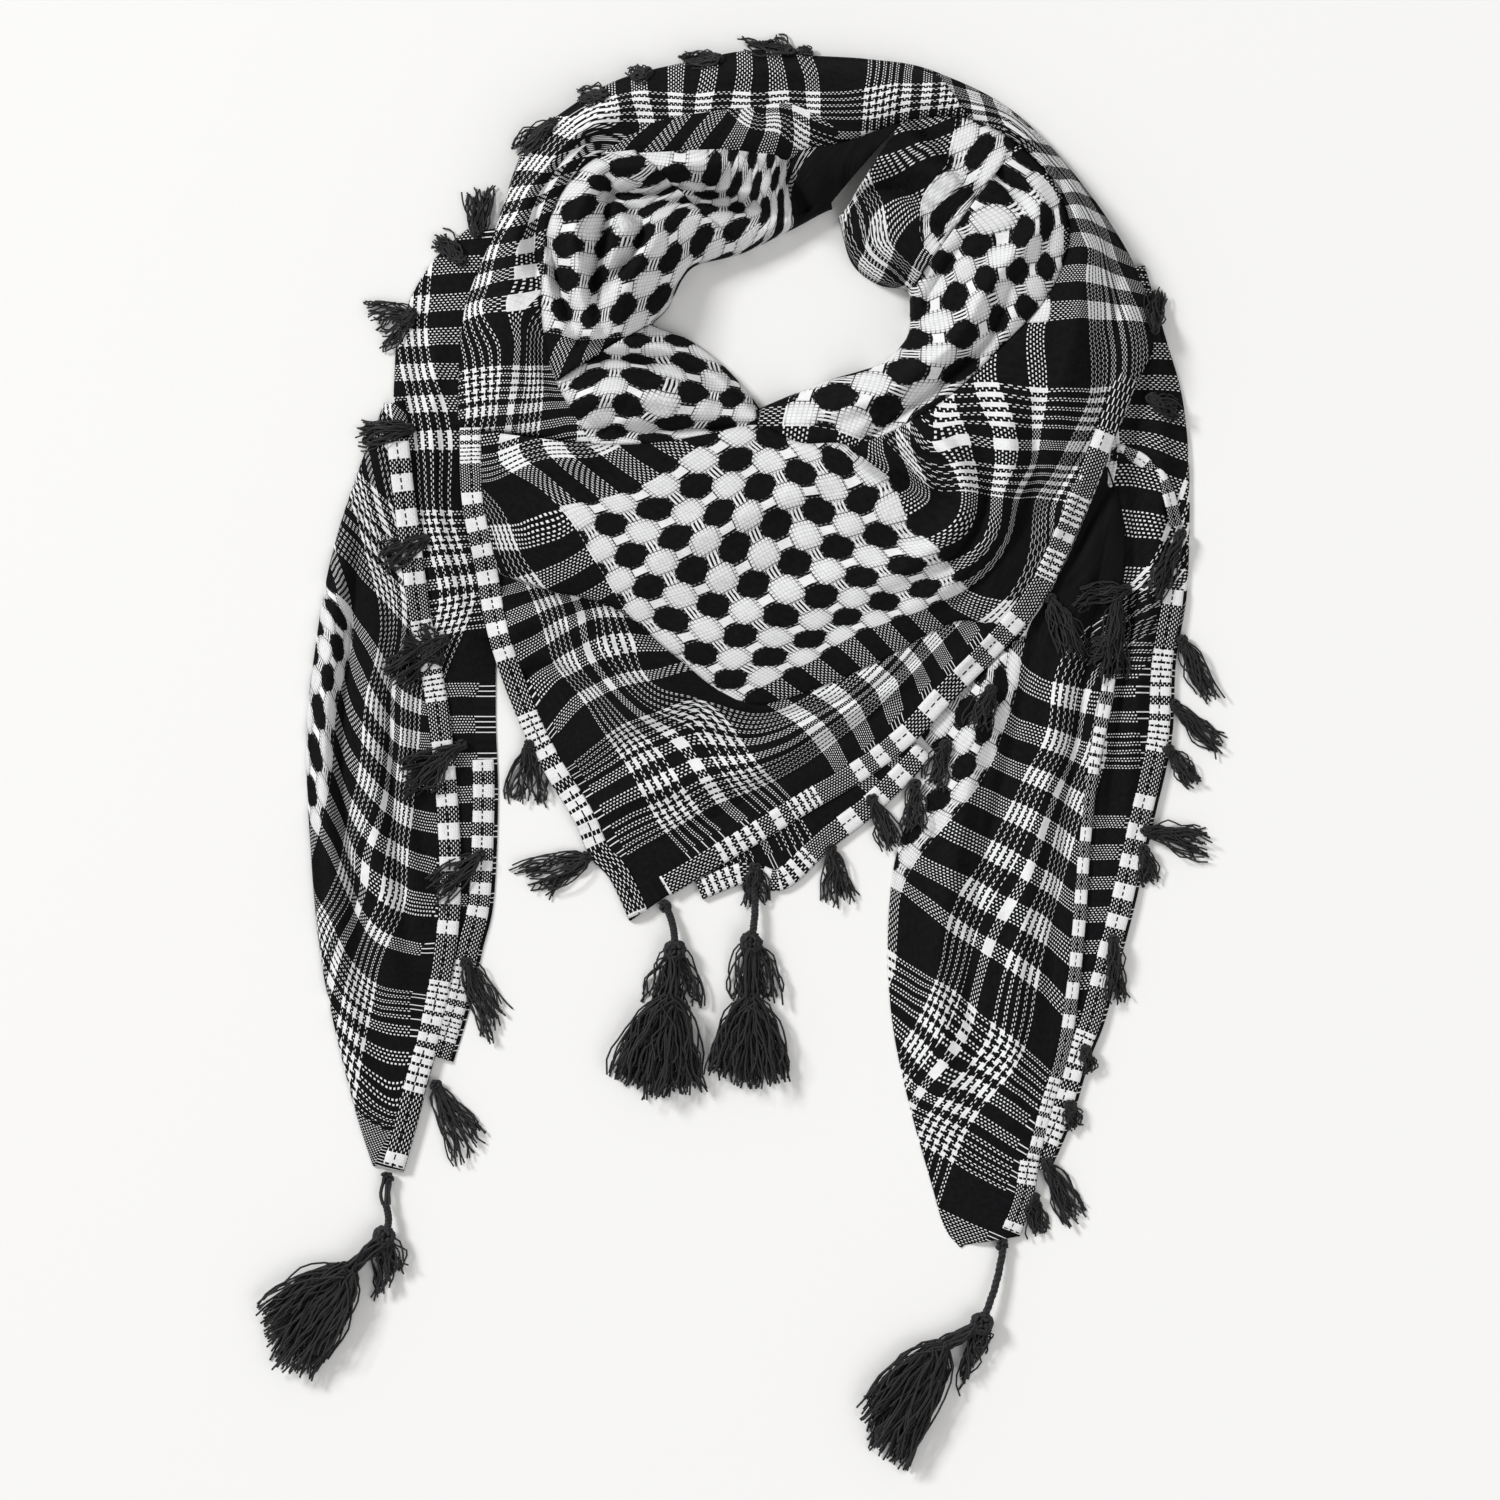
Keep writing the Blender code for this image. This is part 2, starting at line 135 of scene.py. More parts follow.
# %% Node arithmetic
class Finish:
    """One material, and the way its nodes are added."""

    def __init__(self, name):
        self.material = bpy.data.materials.new(name)
        self.material.use_nodes = True
        self.tree = self.material.node_tree
        self.surface = self.tree.nodes["Principled BSDF"]

    def node(self, kind, settings=None, sockets=None):
        """A node of this type, its settings made first, then its sockets' values or links."""
        made = self.tree.nodes.new(kind)
        for key, value in (settings or {}).items():
            setattr(made, key, value)
        for key, value in (sockets or {}).items():
            if isinstance(value, Number):
                self.tree.links.new(value.socket, made.inputs[key])
            elif isinstance(value, bpy.types.NodeSocket):
                self.tree.links.new(value, made.inputs[key])
            else:
                made.inputs[key].default_value = value
        return made

    def number(self, socket):
        return Number(self, socket)

    def feed(self, name, value):
        socket = value.socket if isinstance(value, Number) else value
        self.tree.links.new(socket, self.surface.inputs[name])

    def mix(self, share, first, second):
        """The colour that goes from first to second as share goes from 0 to 1."""
        made = self.node("ShaderNodeMix", {"data_type": "RGBA"}, {0: share, 6: first, 7: second})
        return made.outputs[2]


class Number:
    """A node's output as a number, so that a pattern is written as sums and products."""

    def __init__(self, finish, socket):
        self.finish = finish
        self.socket = socket

    def maths(self, operation, *values):
        sockets = dict(enumerate(values))
        made = self.finish.node("ShaderNodeMath", {"operation": operation}, sockets)
        return Number(self.finish, made.outputs[0])

    def __add__(self, other):
        return self.maths("ADD", self, other)

    def __radd__(self, other):
        return self.maths("ADD", other, self)

    def __sub__(self, other):
        return self.maths("SUBTRACT", self, other)

    def __rsub__(self, other):
        return self.maths("SUBTRACT", other, self)

    def __mul__(self, other):
        return self.maths("MULTIPLY", self, other)

    def __rmul__(self, other):
        return self.maths("MULTIPLY", other, self)

    def __truediv__(self, other):
        return self.maths("DIVIDE", self, other)

    def above(self, other):
        return self.maths("GREATER_THAN", self, other)

    def below(self, other):
        return self.maths("LESS_THAN", self, other)

    def part(self):
        return self.maths("FRACT", self)

    def whole(self):
        return self.maths("FLOOR", self)

    def size(self):
        return self.maths("ABSOLUTE", self)

    def power(self, other):
        return self.maths("POWER", self, other)

    def higher(self, other):
        return self.maths("MAXIMUM", self, other)

    def lower(self, other):
        return self.maths("MINIMUM", self, other)

    def remainder(self, other):
        return self.maths("FLOORED_MODULO", self, other)

    def between(self, start, end):
        """1 from start to end, and 0 outside."""
        return self.above(start) * self.below(end)

    def soft(self, start, end):
        """Goes from 0 at start to 1 at end."""
        made = self.finish.node(
            "ShaderNodeMapRange", {"interpolation_type": "SMOOTHSTEP"},
            {"Value": self, "From Min": start, "From Max": end},
        )
        return Number(self.finish, made.outputs[0])


print("sums:", [word for word in vars(Number) if not word.startswith("_")])

# %% [markdown]
# ## The check
#
# White and black yarns run both ways. From each hem come a plain black border, five thin white
# lines, one or two white stripes, five lines again, black, and then a ladder of seven broad white
# bars. Where white crosses white the cloth is white, and where they differ it is a dotted grey.
# A painted picture of the cloth would blur from close by and stretch on folds. Worked out from the
# two distances, the yarns stay sharp and run on from one stretch of cloth to the next.

# %% Plan of the stripes, in millimetres from the hem
HEM_WIDTH = 9.0
PAST_THE_HEM = -50.0
LINES_IN_GROUP = 5
LADDER_RUNGS = 6.5
FIRST_WAY = {"thread": 1.1333, "line_pitch": 3.4, "lines_at": (32.0, 67.0), "line": 0.62,
             "stripes": ((51.0, 56.0), (60.0, 65.0)),
             "ladder_at": 106.0, "rung": 15.3, "repeat": 196.0}
SECOND_WAY = {"thread": 1.0, "line_pitch": 4.0, "lines_at": (33.0, 67.5), "line": 0.5,
              "stripes": ((57.5, 63.0),),
              "ladder_at": 112.5, "rung": 18.0, "repeat": 221.5}


def in_ladder(place, plan):
    """1 inside a ladder of bars, and how far along one rung this is, from 0 to 1."""
    rung = (place - plan["ladder_at"]).remainder(plan["repeat"]) / plan["rung"]
    return rung.below(LADDER_RUNGS) * place.above(plan["ladder_at"] - 1), rung.part()


def white_yarns(place, plan):
    """1 where the yarns that run along a hem are white, by their distance from it."""
    thread = (place / plan["thread"]).whole() * plan["thread"] + plan["thread"] / 2
    turn = thread.remainder(plan["repeat"])
    white = thread.between(PAST_THE_HEM, HEM_WIDTH)
    step = plan["line_pitch"]
    for start in plan["lines_at"]:
        line = ((turn - start) / step).part().below(plan["line"])
        white = white + line * turn.between(start, start + LINES_IN_GROUP * step)
    for start, end in plan["stripes"]:
        white = white + turn.between(start, end)
    ladder, rung = in_ladder(thread, plan)
    return (white + ladder * rung.below(0.5)).lower(1.0)


print("the check repeats every", FIRST_WAY["repeat"], "by", SECOND_WAY["repeat"], "mm")

# %% [markdown]
# ## Plain weave
#
# In plain weave each yarn goes over one yarn and under the next. Where a white yarn meets a black
# one only the middle of the white yarn shows, every other time, which gives the dotted grey.

# %% Plain weave
GREY_YARN = 0.2


def plain_weave(first, second):
    """How white the plain cloth is, which yarn is on top, and how far from each yarn's middle."""
    thread_first = first / FIRST_WAY["thread"]
    thread_second = second / SECOND_WAY["thread"]
    over = ((thread_first.whole() + thread_second.whole()) * 0.5).part().above(0.25)
    side_first = (thread_first.part() - 0.5).size()
    side_second = (thread_second.part() - 0.5).size()
    white_first = white_yarns(first, FIRST_WAY)
    white_second = white_yarns(second, SECOND_WAY)
    both = white_first * white_second
    one = white_first * over * side_first.below(GREY_YARN)
    one = one + white_second * (1 - over) * side_second.below(GREY_YARN)
    return both + (1 - both) * one, over, side_first, side_second


print("a grey shows", 2 * GREY_YARN, "of each white yarn")

# %% [markdown]
# ## Net of ovals
#
# Where two ladders meet, the yarns float over several others and pull the cloth into ovals. A white
# oval sits where two white bars cross and a black one where two black bars cross. Short bars join
# the white ovals one way, and three separate threads join them the other way. The net is drawn
# inside one rung by one rung, as modelling each float would take many thousands of threads.

# %% Net of ovals, in millimetres and shares
YARN = 1.4
# Columns: half width, half length, and how square the oval is.
WHITE_OVAL = (5.5, 6.2, 2.5)
BLACK_OVAL = (5.6, 6.9, 2.3)
YARN_GAP = 0.72
GAP_SHADE = {"middle": 0.20, "rim": 0.75}
FRINGE_YARN = 0.38
FRINGE_REACH = 1.7
BAR = {"half_width": 1.6, "half_length": 2.7}
THREADS = {"pitch": 1.6, "from": 0.24, "to": 0.76, "half_width": 2.4, "half_length": 3.0}
SPECKLE = {"width": 0.26, "from": 0.75, "to": 1.05, "shade": 0.22}


def oval(across, along, half_width, half_length, squareness):
    """Under 1 inside an oval, and over 1 outside it."""
    sideways = (across / half_width).size().power(squareness)
    return sideways + (along / half_length).size().power(squareness)


def oval_net(first, second, over, side_first):
    """How white the net is, 1 where it lies, and how high its ovals and its links stand."""
    ladder_first, rung_first = in_ladder(first, FIRST_WAY)
    ladder_second, rung_second = in_ladder(second, SECOND_WAY)
    rung_first = rung_first - 0.25
    rung_second = rung_second - 0.25
    across = ((rung_first + 0.5).part() - 0.5) * FIRST_WAY["rung"]
    along = ((rung_second + 0.5).part() - 0.5) * SECOND_WAY["rung"]
    far_across = rung_first.part() * FIRST_WAY["rung"] - FIRST_WAY["rung"] / 2
    far_along = rung_second.part() * SECOND_WAY["rung"] - SECOND_WAY["rung"] / 2
    white_oval = oval(across, along, *WHITE_OVAL)
    black_oval = oval(far_across, far_along, *BLACK_OVAL)
    is_white = white_oval.below(1.0)

    gaps = (first / YARN).part().above(YARN_GAP).higher((second / YARN).part().above(YARN_GAP))
    grid = gaps * (white_oval.soft(0.15, 1.0) * GAP_SHADE["rim"] + GAP_SHADE["middle"])
    sideways = (across / WHITE_OVAL[0]).size().above((along / WHITE_OVAL[1]).size())
    ends = sideways * (second / YARN).part().below(FRINGE_YARN)
    ends = ends + (1 - sideways) * (first / YARN).part().below(FRINGE_YARN)
    fringe = ends * white_oval.between(1.0, FRINGE_REACH) * black_oval.above(0.9)
    bar = across.size().below(BAR["half_width"]) * far_along.size().below(BAR["half_length"])
    threads = (along / THREADS["pitch"] + 0.5).part().between(THREADS["from"], THREADS["to"])
    threads = threads * along.size().below(THREADS["half_width"])
    link = bar.higher(threads * far_across.size().below(THREADS["half_length"])).higher(fringe * 0.8)
    speckle = over * side_first.below(SPECKLE["width"])
    speckle = speckle * black_oval.between(SPECKLE["from"], SPECKLE["to"]) * SPECKLE["shade"]
    white = is_white * (1 - grid) + (1 - is_white) * link.higher(speckle)

    ovals = (1 - white_oval).higher(0.0).power(0.5) + (1 - black_oval).higher(0.0).power(0.5) * 0.7
    return white, ladder_first * ladder_second, ovals.higher(bar.higher(threads) * 0.3)


print("white ovals", [2 * size for size in WHITE_OVAL[:2]], "mm")

# %% [markdown]
# ## The cloth's finish
#
# The yarn is dull cotton: nearly black or off-white, a little uneven, and hardly shiny. Each hem is
# sewn down with a row of dark stitches. The ovals and yarns also lift the surface a little, as a
# bump, because they are too small and too many to be modelled.

# %% The woven check as a material
MM_IN_METRE = 1000.0
WANDER = {"scale": 60.0, "reach": 1.2}
STITCH = {"at": 4.6, "half_width": 0.35, "pitch": 3.2, "length": 0.62}
BLACK_YARN = ((0.002, 0.002, 0.0023, 1), (0.011, 0.011, 0.012, 1))
WHITE_YARN = ((0.66, 0.67, 0.68, 1), (0.88, 0.88, 0.88, 1))
DUST_SCALE = 420.0
RELIEF = {"Strength": 0.8, "Distance": 0.0009}
YARN_RELIEF = -0.3
COTTON_ROUGHNESS = 0.92
COTTON_SHINE = 0.06


def stitches(from_hem, along):
    """1 on the row of stitches that runs along a hem."""
    row = (from_hem - STITCH["at"]).size().below(STITCH["half_width"])
    return row * (along / STITCH["pitch"]).part().below(STITCH["length"])


def woven_check(name):
    """The whole finish of the cloth: colour, small relief and dullness."""
    cloth = Finish(name)
    place = cloth.node("ShaderNodeUVMap", {"uv_map": "UVMap"})
    wander = cloth.node("ShaderNodeTexNoise", {}, {
        "Vector": place.outputs[0], "Scale": WANDER["scale"], "Detail": 2.0})
    drift = (cloth.number(wander.outputs[0]) - 0.5) * WANDER["reach"]
    split = cloth.node("ShaderNodeSeparateXYZ", {}, {0: place.outputs[0]})
    first = cloth.number(split.outputs[0]) * MM_IN_METRE + drift
    second = cloth.number(split.outputs[1]) * MM_IN_METRE + drift

    plain, over, side_first, side_second = plain_weave(first, second)
    net, in_net, net_height = oval_net(first, second, over, side_first)
    white = plain * (1 - in_net) + net * in_net
    white = white * (1 - stitches(first, second).higher(stitches(second, first)))

    dust = cloth.node("ShaderNodeTexNoise", {}, {
        "Vector": place.outputs[0], "Scale": DUST_SCALE, "Detail": 3.0})
    tone = cloth.number(dust.outputs[0])
    black = cloth.mix(tone, *BLACK_YARN)
    pale = cloth.mix(tone, *WHITE_YARN)
    cloth.feed("Base Color", cloth.mix(white, black, pale))

    yarn_height = (side_first * over + side_second * (1 - over)) * YARN_RELIEF
    height = yarn_height + net_height * in_net
    bump = cloth.node("ShaderNodeBump", {}, {**RELIEF, "Height": height})
    cloth.feed("Normal", bump.outputs[0])
    cloth.surface.inputs["Roughness"].default_value = COTTON_ROUGHNESS
    cloth.surface.inputs["Specular IOR Level"].default_value = COTTON_SHINE
    return cloth.material


check_finish = woven_check("woven_check")
print("nodes in the check", len(check_finish.node_tree.nodes))

# %% [markdown]
# ## Rails
#
# Each stretch of cloth lies between two rails: a hem, a fold or a crease. The columns are x, y and
# the height of the cloth there, in millimetres, the same as in the packed model. A cloth simulation
# would fold a square by itself, but not into the very folds of one photograph. Rails keep each edge
# where it was seen, and neighbours that share a rail meet without a gap.

# %% Rails of the folded cloth
RAILS = {
    "hem_left": (
        (-125, 145, 9), (-124, 113, 7), (-119, 86, 6), (-112, 50, 5), (-99, 14, 4),
        (-88, -8, 3), (-74, -31, 2.5), (-67, -47, 2), (-58, -57, 2), (-49, -76, 2),
    ),
    "hem_right": (
        (140, 75, 8), (130, 60, 7), (112, 40, 6), (94, 22, 6), (77, 4, 5),
        (56, -12, 4), (34, -25, 4), (11, -39, 4), (-11, -52, 3), (-33, -65, 2),
    ),
    "outer": (
        (-125, 145, 9), (-125, 167, 9), (-122, 199, 9), (-108, 235, 9), (-95, 271, 9),
        (-81, 284, 9), (-54, 300, 9), (-18, 309, 9), (5, 313, 9), (27, 311, 9),
        (59, 309, 9), (86, 304, 9), (122, 286, 9), (153, 253, 9), (176, 217, 9),
        (185, 185, 9), (176, 163, 9), (162, 127, 9), (149, 95, 8), (140, 75, 8),
    ),
    "crease": (
        (-66, 137, 17), (-82, 165, 19), (-88, 190, 21), (-88, 217, 22), (-84, 240, 22),
        (-71, 260, 21), (-50, 271, 20), (-18, 272, 19), (14, 270, 18), (45, 272, 18),
        (72, 281, 19), (99, 283, 20), (124, 271, 22), (142, 250, 23), (147, 228, 23),
        (137, 203, 23), (117, 181, 22), (95, 160, 21), (72, 145, 20), (50, 136, 19),
    ),
    "hole": (
        (7, 153, 9), (2, 160, 9), (-9, 172, 10), (-23, 183, 10), (-41, 191, 11),
        (-34, 201, 11), (-23, 219, 11), (0, 226, 10), (23, 237, 9), (41, 246, 9),
        (46, 241, 9), (52, 221, 10), (63, 212, 10), (77, 208, 11), (78, 190, 11),
        (74, 181, 11), (63, 172, 10), (41, 165, 10), (23, 158, 9), (9, 152, 9),
    ),
    "front": (
        (-125, 145, 9), (-90, 140, 17), (-63, 137, 19), (-36, 138, 19), (-14, 142, 17),
        (8, 146, 14), (27, 138, 17), (50, 136, 19), (81, 115, 17), (117, 90, 12),
        (140, 75, 8),
    ),
    "drape": (
        (-119, 86, 6), (-90, 75, 9), (-56, 66, 11), (-27, 43, 10), (0, 23, 9),
        (27, 27, 9), (63, 42, 10), (99, 60, 10), (126, 50, 7),
    ),
    "back_hem": (
        (86, -2, 2), (74, -15, 2), (59, -29, 2), (41, -43, 2), (24, -59, 2),
        (14, -62, 2), (2, -59, 2), (-17, -66, 2),
    ),
    "tail_left_hem": (
        (-151, 158, 4), (-148, 127, 4), (-144, 95, 4), (-139, 59, 4), (-132, 23, 4),
        (-128, -13, 4), (-126, -49, 4), (-127, -80, 4), (-132, -112, 3.5), (-137, -134, 3),
    ),
    "tail_left_fold": (
        (-158, 156, 3), (-171, 122, 4), (-182, 86, 4), (-189, 46, 4), (-193, 5, 4),
        (-191, -44, 4), (-187, -89, 4), (-180, -125, 3), (-171, -161, 3), (-163, -186, 2),
    ),
    "tail_left_tip": ((-137, -134, 3), (-142, -152, 3), (-146, -168, 2.5), (-152, -189, 2)),
    "side_left_top": ((-116, 234, 4), (-133, 219, 4), (-145, 199, 4), (-150, 180, 4)),
    "side_left_hem": (
        (-112, 50, 3), (-112, 14, 3), (-111, -22, 3), (-113, -67, 3), (-118, -89, 3),
        (-124, -116, 2.5), (-131, -139, 2),
    ),
    "tail_right_hem": (
        (165, 128, 4), (172, 104, 4), (172, 77, 4), (170, 50, 4), (167, 23, 4),
        (161, -8, 4), (157, -44, 4), (155, -76, 4), (152, -107, 4), (148, -134, 3.5),
        (140, -161, 3), (134, -184, 3),
    ),
    "tail_right_tip": ((134, -184, 3), (131, -202, 2.5), (125, -218, 2)),
    "tail_right_fold": (
        (92, -2, 4), (80, -26, 4), (72, -49, 4), (69, -76, 4), (69, -103, 4),
        (72, -130, 4), (79, -161, 3), (88, -193, 3), (94, -213, 2.5), (101, -222, 2),
    ),
    "curl_hem": (
        (170, 138, 10), (182, 133, 10), (193, 121, 9), (198.5, 102, 8),
    ),
    "side_right_hem": (
        (180, 218, 4), (189, 187, 3), (197, 158, 3), (200, 122, 3), (199, 73, 3),
        (194, 41, 3), (192, 5, 3), (184, -31, 3), (176, -67, 3), (169, -94, 3),
        (162, -121, 3), (155, -139, 3), (147, -166, 2.5), (137, -189, 2),
    ),
}
print("rails", len(RAILS))

# %% [markdown]
# ## Where the pattern lies
#
# The check follows the cloth, not the table. For each stretch a few spots are named where the
# photograph shows a line or a corner of the pattern: the spot in the picture's frame, then how far
# it is from the one hem and from the other, in millimetres. A thin-plate spline, which bends like
# a springy sheet held at those spots, fills in the rest.

# %% Spots on the pattern, with the columns: column, row, from the first hem, from the second
BORDER_SPOTS = (
    (634, 920, 0, 0), (676, 811, 40.5, 43), (627, 736, 75.5, 43), (697, 710, 75.5, 77.5),
    (750, 778, 40.5, 77.5), (601, 852, 40.5, 0), (562, 780, 75.5, 0), (715, 850, 0, 43),
    (785, 812, 5, 77.5), (545, 750, 106, 0), (845, 772, 7, 117), (898, 722, 8, 153),
    (947, 663, 12, 189), (992, 596, 16, 225), (1045, 560, 12, 250), (955, 615, 40.5, 205),
    (900, 675, 40.5, 160), (830, 735, 40.5, 120), (885, 640, 75.5, 170), (830, 690, 75.5, 135),
    (765, 690, 98, 117), (800, 665, 98, 137), (930, 606, 60, 200), (525, 705, 125, 0),
    (560, 668, 125.1, 35), (600, 650, 125.1, 68), (640, 645, 125.1, 88), (660, 675, 109.8, 93),
    (600, 613, 140.4, 72), (540, 640, 140.4, 28), (590, 690, 112, 43), (493, 650, 146, 0),
    (473, 584, 182, 0), (540, 600, 160, 38),
)
BACK_SPOTS = (
    (740, 870, 8, 40), (800, 850, 8, 77), (880, 790, 8, 117), (931, 756, 8, 153),
    (745, 890, 0, 40), (810, 862, 0, 77), (895, 800, 0, 117), (940, 764, 0, 153),
)
FRONT_SPOTS = (
    (581, 517, 201.6, 117), (663, 488, 201.6, 153), (739, 437, 201.6, 189),
    (602, 550, 186.3, 117), (690, 514, 186.3, 153), (769, 462, 186.3, 189),
    (805, 451, 186.3, 207), (621, 582, 171, 117), (706, 542, 171, 153), (788, 497, 171, 189),
    (870, 479, 171, 225), (638, 610, 155.7, 117), (722, 580, 155.7, 153),
    (805, 535, 155.7, 189), (887, 512, 155.7, 225), (708, 632, 140.4, 135),
    (786, 592, 140.4, 171), (918, 550, 140.4, 225), (734, 660, 125.1, 135),
    (817, 622, 125.1, 171), (939, 571, 125.1, 225), (765, 677, 109.8, 135),
    (840, 636, 109.8, 171), (950, 592, 109.8, 225),
    (540, 495, 210, 110), (562, 529, 201.6, 107), (565, 462, 228, 135),
    (608, 443, 236, 155), (665, 442, 215, 171), (500, 470, 236, 110), (513, 420, 254, 116),
    (552, 420, 252, 135), (590, 430, 250, 153), (525, 540, 201.6, 92), (480, 520, 208, 60),
    (520, 590, 186, 70), (967, 510, 140.4, 245), (955, 440, 140.4, 283), (945, 405, 140.4, 300),
    (975, 555, 125.1, 238), (995, 495, 125.1, 257), (1003, 455, 125.1, 278),
    (985, 395, 125.1, 303), (985, 350, 125.1, 322), (1010, 530, 109.8, 242),
    (1030, 470, 109.8, 270), (1037, 400, 109.8, 303), (1035, 330, 109.8, 333),
    (922, 452, 147, 278), (930, 488, 152, 254), (902, 470, 164, 240),
    (1083, 400, 84, 303), (1104, 400, 67, 303), (1068, 455, 75.5, 278), (1040, 500, 78, 255),
    (1083, 330, 84, 331), (1100, 330, 67, 331), (1120, 330, 53.5, 331), (1143, 330, 32, 331),
    (1066, 315, 97, 338.5), (1065, 280, 97, 356.5), (1070, 247, 94, 374.5),
    (1090, 255, 75.5, 370), (1108, 258, 40.5, 372), (1130, 262, 15, 374),
    (1076, 218, 75.5, 392.5), (1094, 216, 40.5, 396), (1062, 192, 75.5, 410.5),
    (1076, 186, 40.5, 413), (1050, 165, 55, 428.5), (1030, 140, 50, 446.5),
    (1005, 125, 55, 446.5), (975, 113, 50, 428.5), (945, 97, 40.5, 410.5),
    (915, 92, 40.5, 392.5), (885, 88, 40.5, 374.5), (855, 84, 40.5, 356.5),
    (830, 72, 30, 338.5), (896, 74, 26, 383), (950, 84, 28, 414),
)
WRAP_SPOTS = (
    (485, 308, 305.8, 52), (500, 281, 321.1, 54), (510, 255, 336.4, 56), (522, 224, 351.7, 54),
    (534, 196, 367, 54), (553, 174, 382.3, 54), (578, 139, 397.6, 50), (609, 117, 397.6, 43),
    (641, 104, 382.3, 38), (676, 92, 367, 30), (710, 82, 351.7, 26), (744, 80, 336.4, 25),
    (778, 78, 321.1, 24), (811, 82, 305.8, 25), (838, 92, 290.5, 30), (860, 104, 280, 38),
    (884, 114, 268, 46), (898, 96, 262, 38), (882, 74, 272, 22), (914, 108, 254, 46),
    (906, 76, 259, 22), (474, 290, 318, 40), (487, 245, 341, 43), (508, 205, 362, 43),
    (530, 175, 378, 43), (558, 143, 391, 43), (600, 115, 398, 42), (650, 107, 379, 39),
    (700, 101, 354, 34), (760, 97, 328, 32), (596, 92, 400, 24), (666, 72, 371, 20),
    (736, 64, 340, 18), (803, 60, 306, 17), (545, 300, 305.8, 64), (545, 260, 328, 65),
    (550, 225, 345, 65), (565, 190, 365, 65), (590, 152, 385, 64), (515, 345, 290, 58),
    (515, 385, 271, 60), (480, 385, 271, 40), (475, 345, 291, 40), (560, 385, 271, 100),
    (480, 418, 256, 40), (560, 420, 252, 100), (545, 340, 290, 84), (640, 148, 385, 62),
    (700, 140, 352, 60), (780, 135, 322, 60),
)
NECK_LEFT_SPOTS = (
    (546, 291, 321.1, 117), (556, 232, 351.7, 117), (594, 169, 382.3, 117),
    (640, 150, 397.6, 121), (582, 305, 321.1, 135), (587, 235, 351.7, 135),
    (606, 200, 367, 135), (633, 189, 382.3, 140), (625, 262, 336.4, 153), (650, 290, 321.1, 171),
    (665, 255, 336.4, 171), (690, 238, 336.4, 189),
)
NECK_LOBE_SPOTS = (
    (614, 388, 155.7, 135), (672, 372, 171, 153), (718, 382, 171, 171),
    (660, 408, 155.7, 153), (708, 412, 155.7, 171), (600, 420, 140.4, 135), (640, 426, 140.4, 153),
    (622, 334, 201.6, 135), (640, 352, 186.3, 146), (690, 352, 186.3, 165), (560, 400, 158, 117),
    (750, 400, 163, 189),
)
NECK_BACK_SPOTS = (
    (690, 238, 336.4, 160), (734, 229, 336.4, 178), (764, 215, 328, 196), (724, 255, 325, 182),
    (640, 238, 336.4, 142), (720, 175, 371, 165), (740, 205, 345, 185), (680, 195, 360, 150),
    (800, 195, 292, 240), (832, 185, 290, 242), (800, 228, 298, 238), (830, 212, 290, 242),
    (780, 165, 330, 225), (830, 160, 292, 240),
)
NECK_RIGHT_LOBE_SPOTS = (
    (860, 175, 351.7, 80), (940, 150, 351.7, 108), (870, 140, 367, 80), (940, 118, 367, 106),
    (880, 105, 382.3, 80), (930, 95, 382.3, 98), (905, 213, 336.4, 103), (940, 250, 321.1, 126),
    (880, 195, 345, 88), (845, 200, 352, 50), (850, 240, 345, 48), (868, 228, 340, 66),
    (880, 250, 336, 76), (890, 278, 330, 52), (930, 290, 318, 78), (915, 262, 325, 100),
    (985, 225, 318, 150), (965, 190, 335, 125), (985, 150, 345, 128),
)
NECK_RIGHT_ROLL_SPOTS = (
    (1000, 160, 398, 222), (966, 150, 388, 236), (1024, 234, 375, 200), (986, 282, 362, 180),
    (969, 333, 348, 163), (928, 368, 335, 147), (870, 395, 322, 130), (815, 415, 310, 118),
    (925, 318, 333, 176), (943, 285, 340, 190), (1002, 345, 358, 152), (1044, 250, 392, 190),
    (985, 205, 372, 215), (900, 425, 336, 124), (1048, 200, 398, 205), (960, 240, 358, 206),
)
TOP_FOLD_SPOTS = (
    (635, 135, 382.3, 98), (675, 132, 367, 98), (705, 135, 351.7, 98), (740, 135, 336.4, 90),
    (775, 130, 321.1, 80), (760, 120, 328, 67), (790, 115, 310, 62), (725, 112, 351, 84),
    (800, 140, 306, 75), (650, 120, 384, 90), (840, 130, 290, 60),
)
TAIL_LEFT_SPOTS = (
    (388, 1175, 0, 0), (347, 1070, 40.5, 40), (397, 1112, 40.5, 12), (422, 1097, 40.5, 0),
    (325, 925, 75.5, 75), (380, 998, 75.5, 30), (408, 1001, 75.5, 12), (440, 1006, 75.5, 0),
    (378, 934, 109.8, 43), (423, 950, 109.8, 10), (357, 908, 109.8, 62), (330, 850, 109.8, 98),
    (395, 893, 125.1, 43), (440, 905, 125.1, 8), (350, 850, 125.1, 75), (398, 852, 140.4, 43),
    (440, 868, 140.4, 8), (400, 812, 155.7, 46), (445, 825, 155.7, 8), (350, 800, 140.4, 90),
    (400, 772, 171, 50), (445, 785, 171, 8), (335, 770, 140.4, 108), (400, 735, 186.3, 54),
    (442, 742, 186.3, 12), (325, 700, 155.7, 121), (345, 640, 186.3, 121), (395, 690, 201.6, 60),
    (335, 600, 201.6, 124), (400, 600, 236, 66), (390, 500, 280, 50), (390, 420, 316, 36),
)
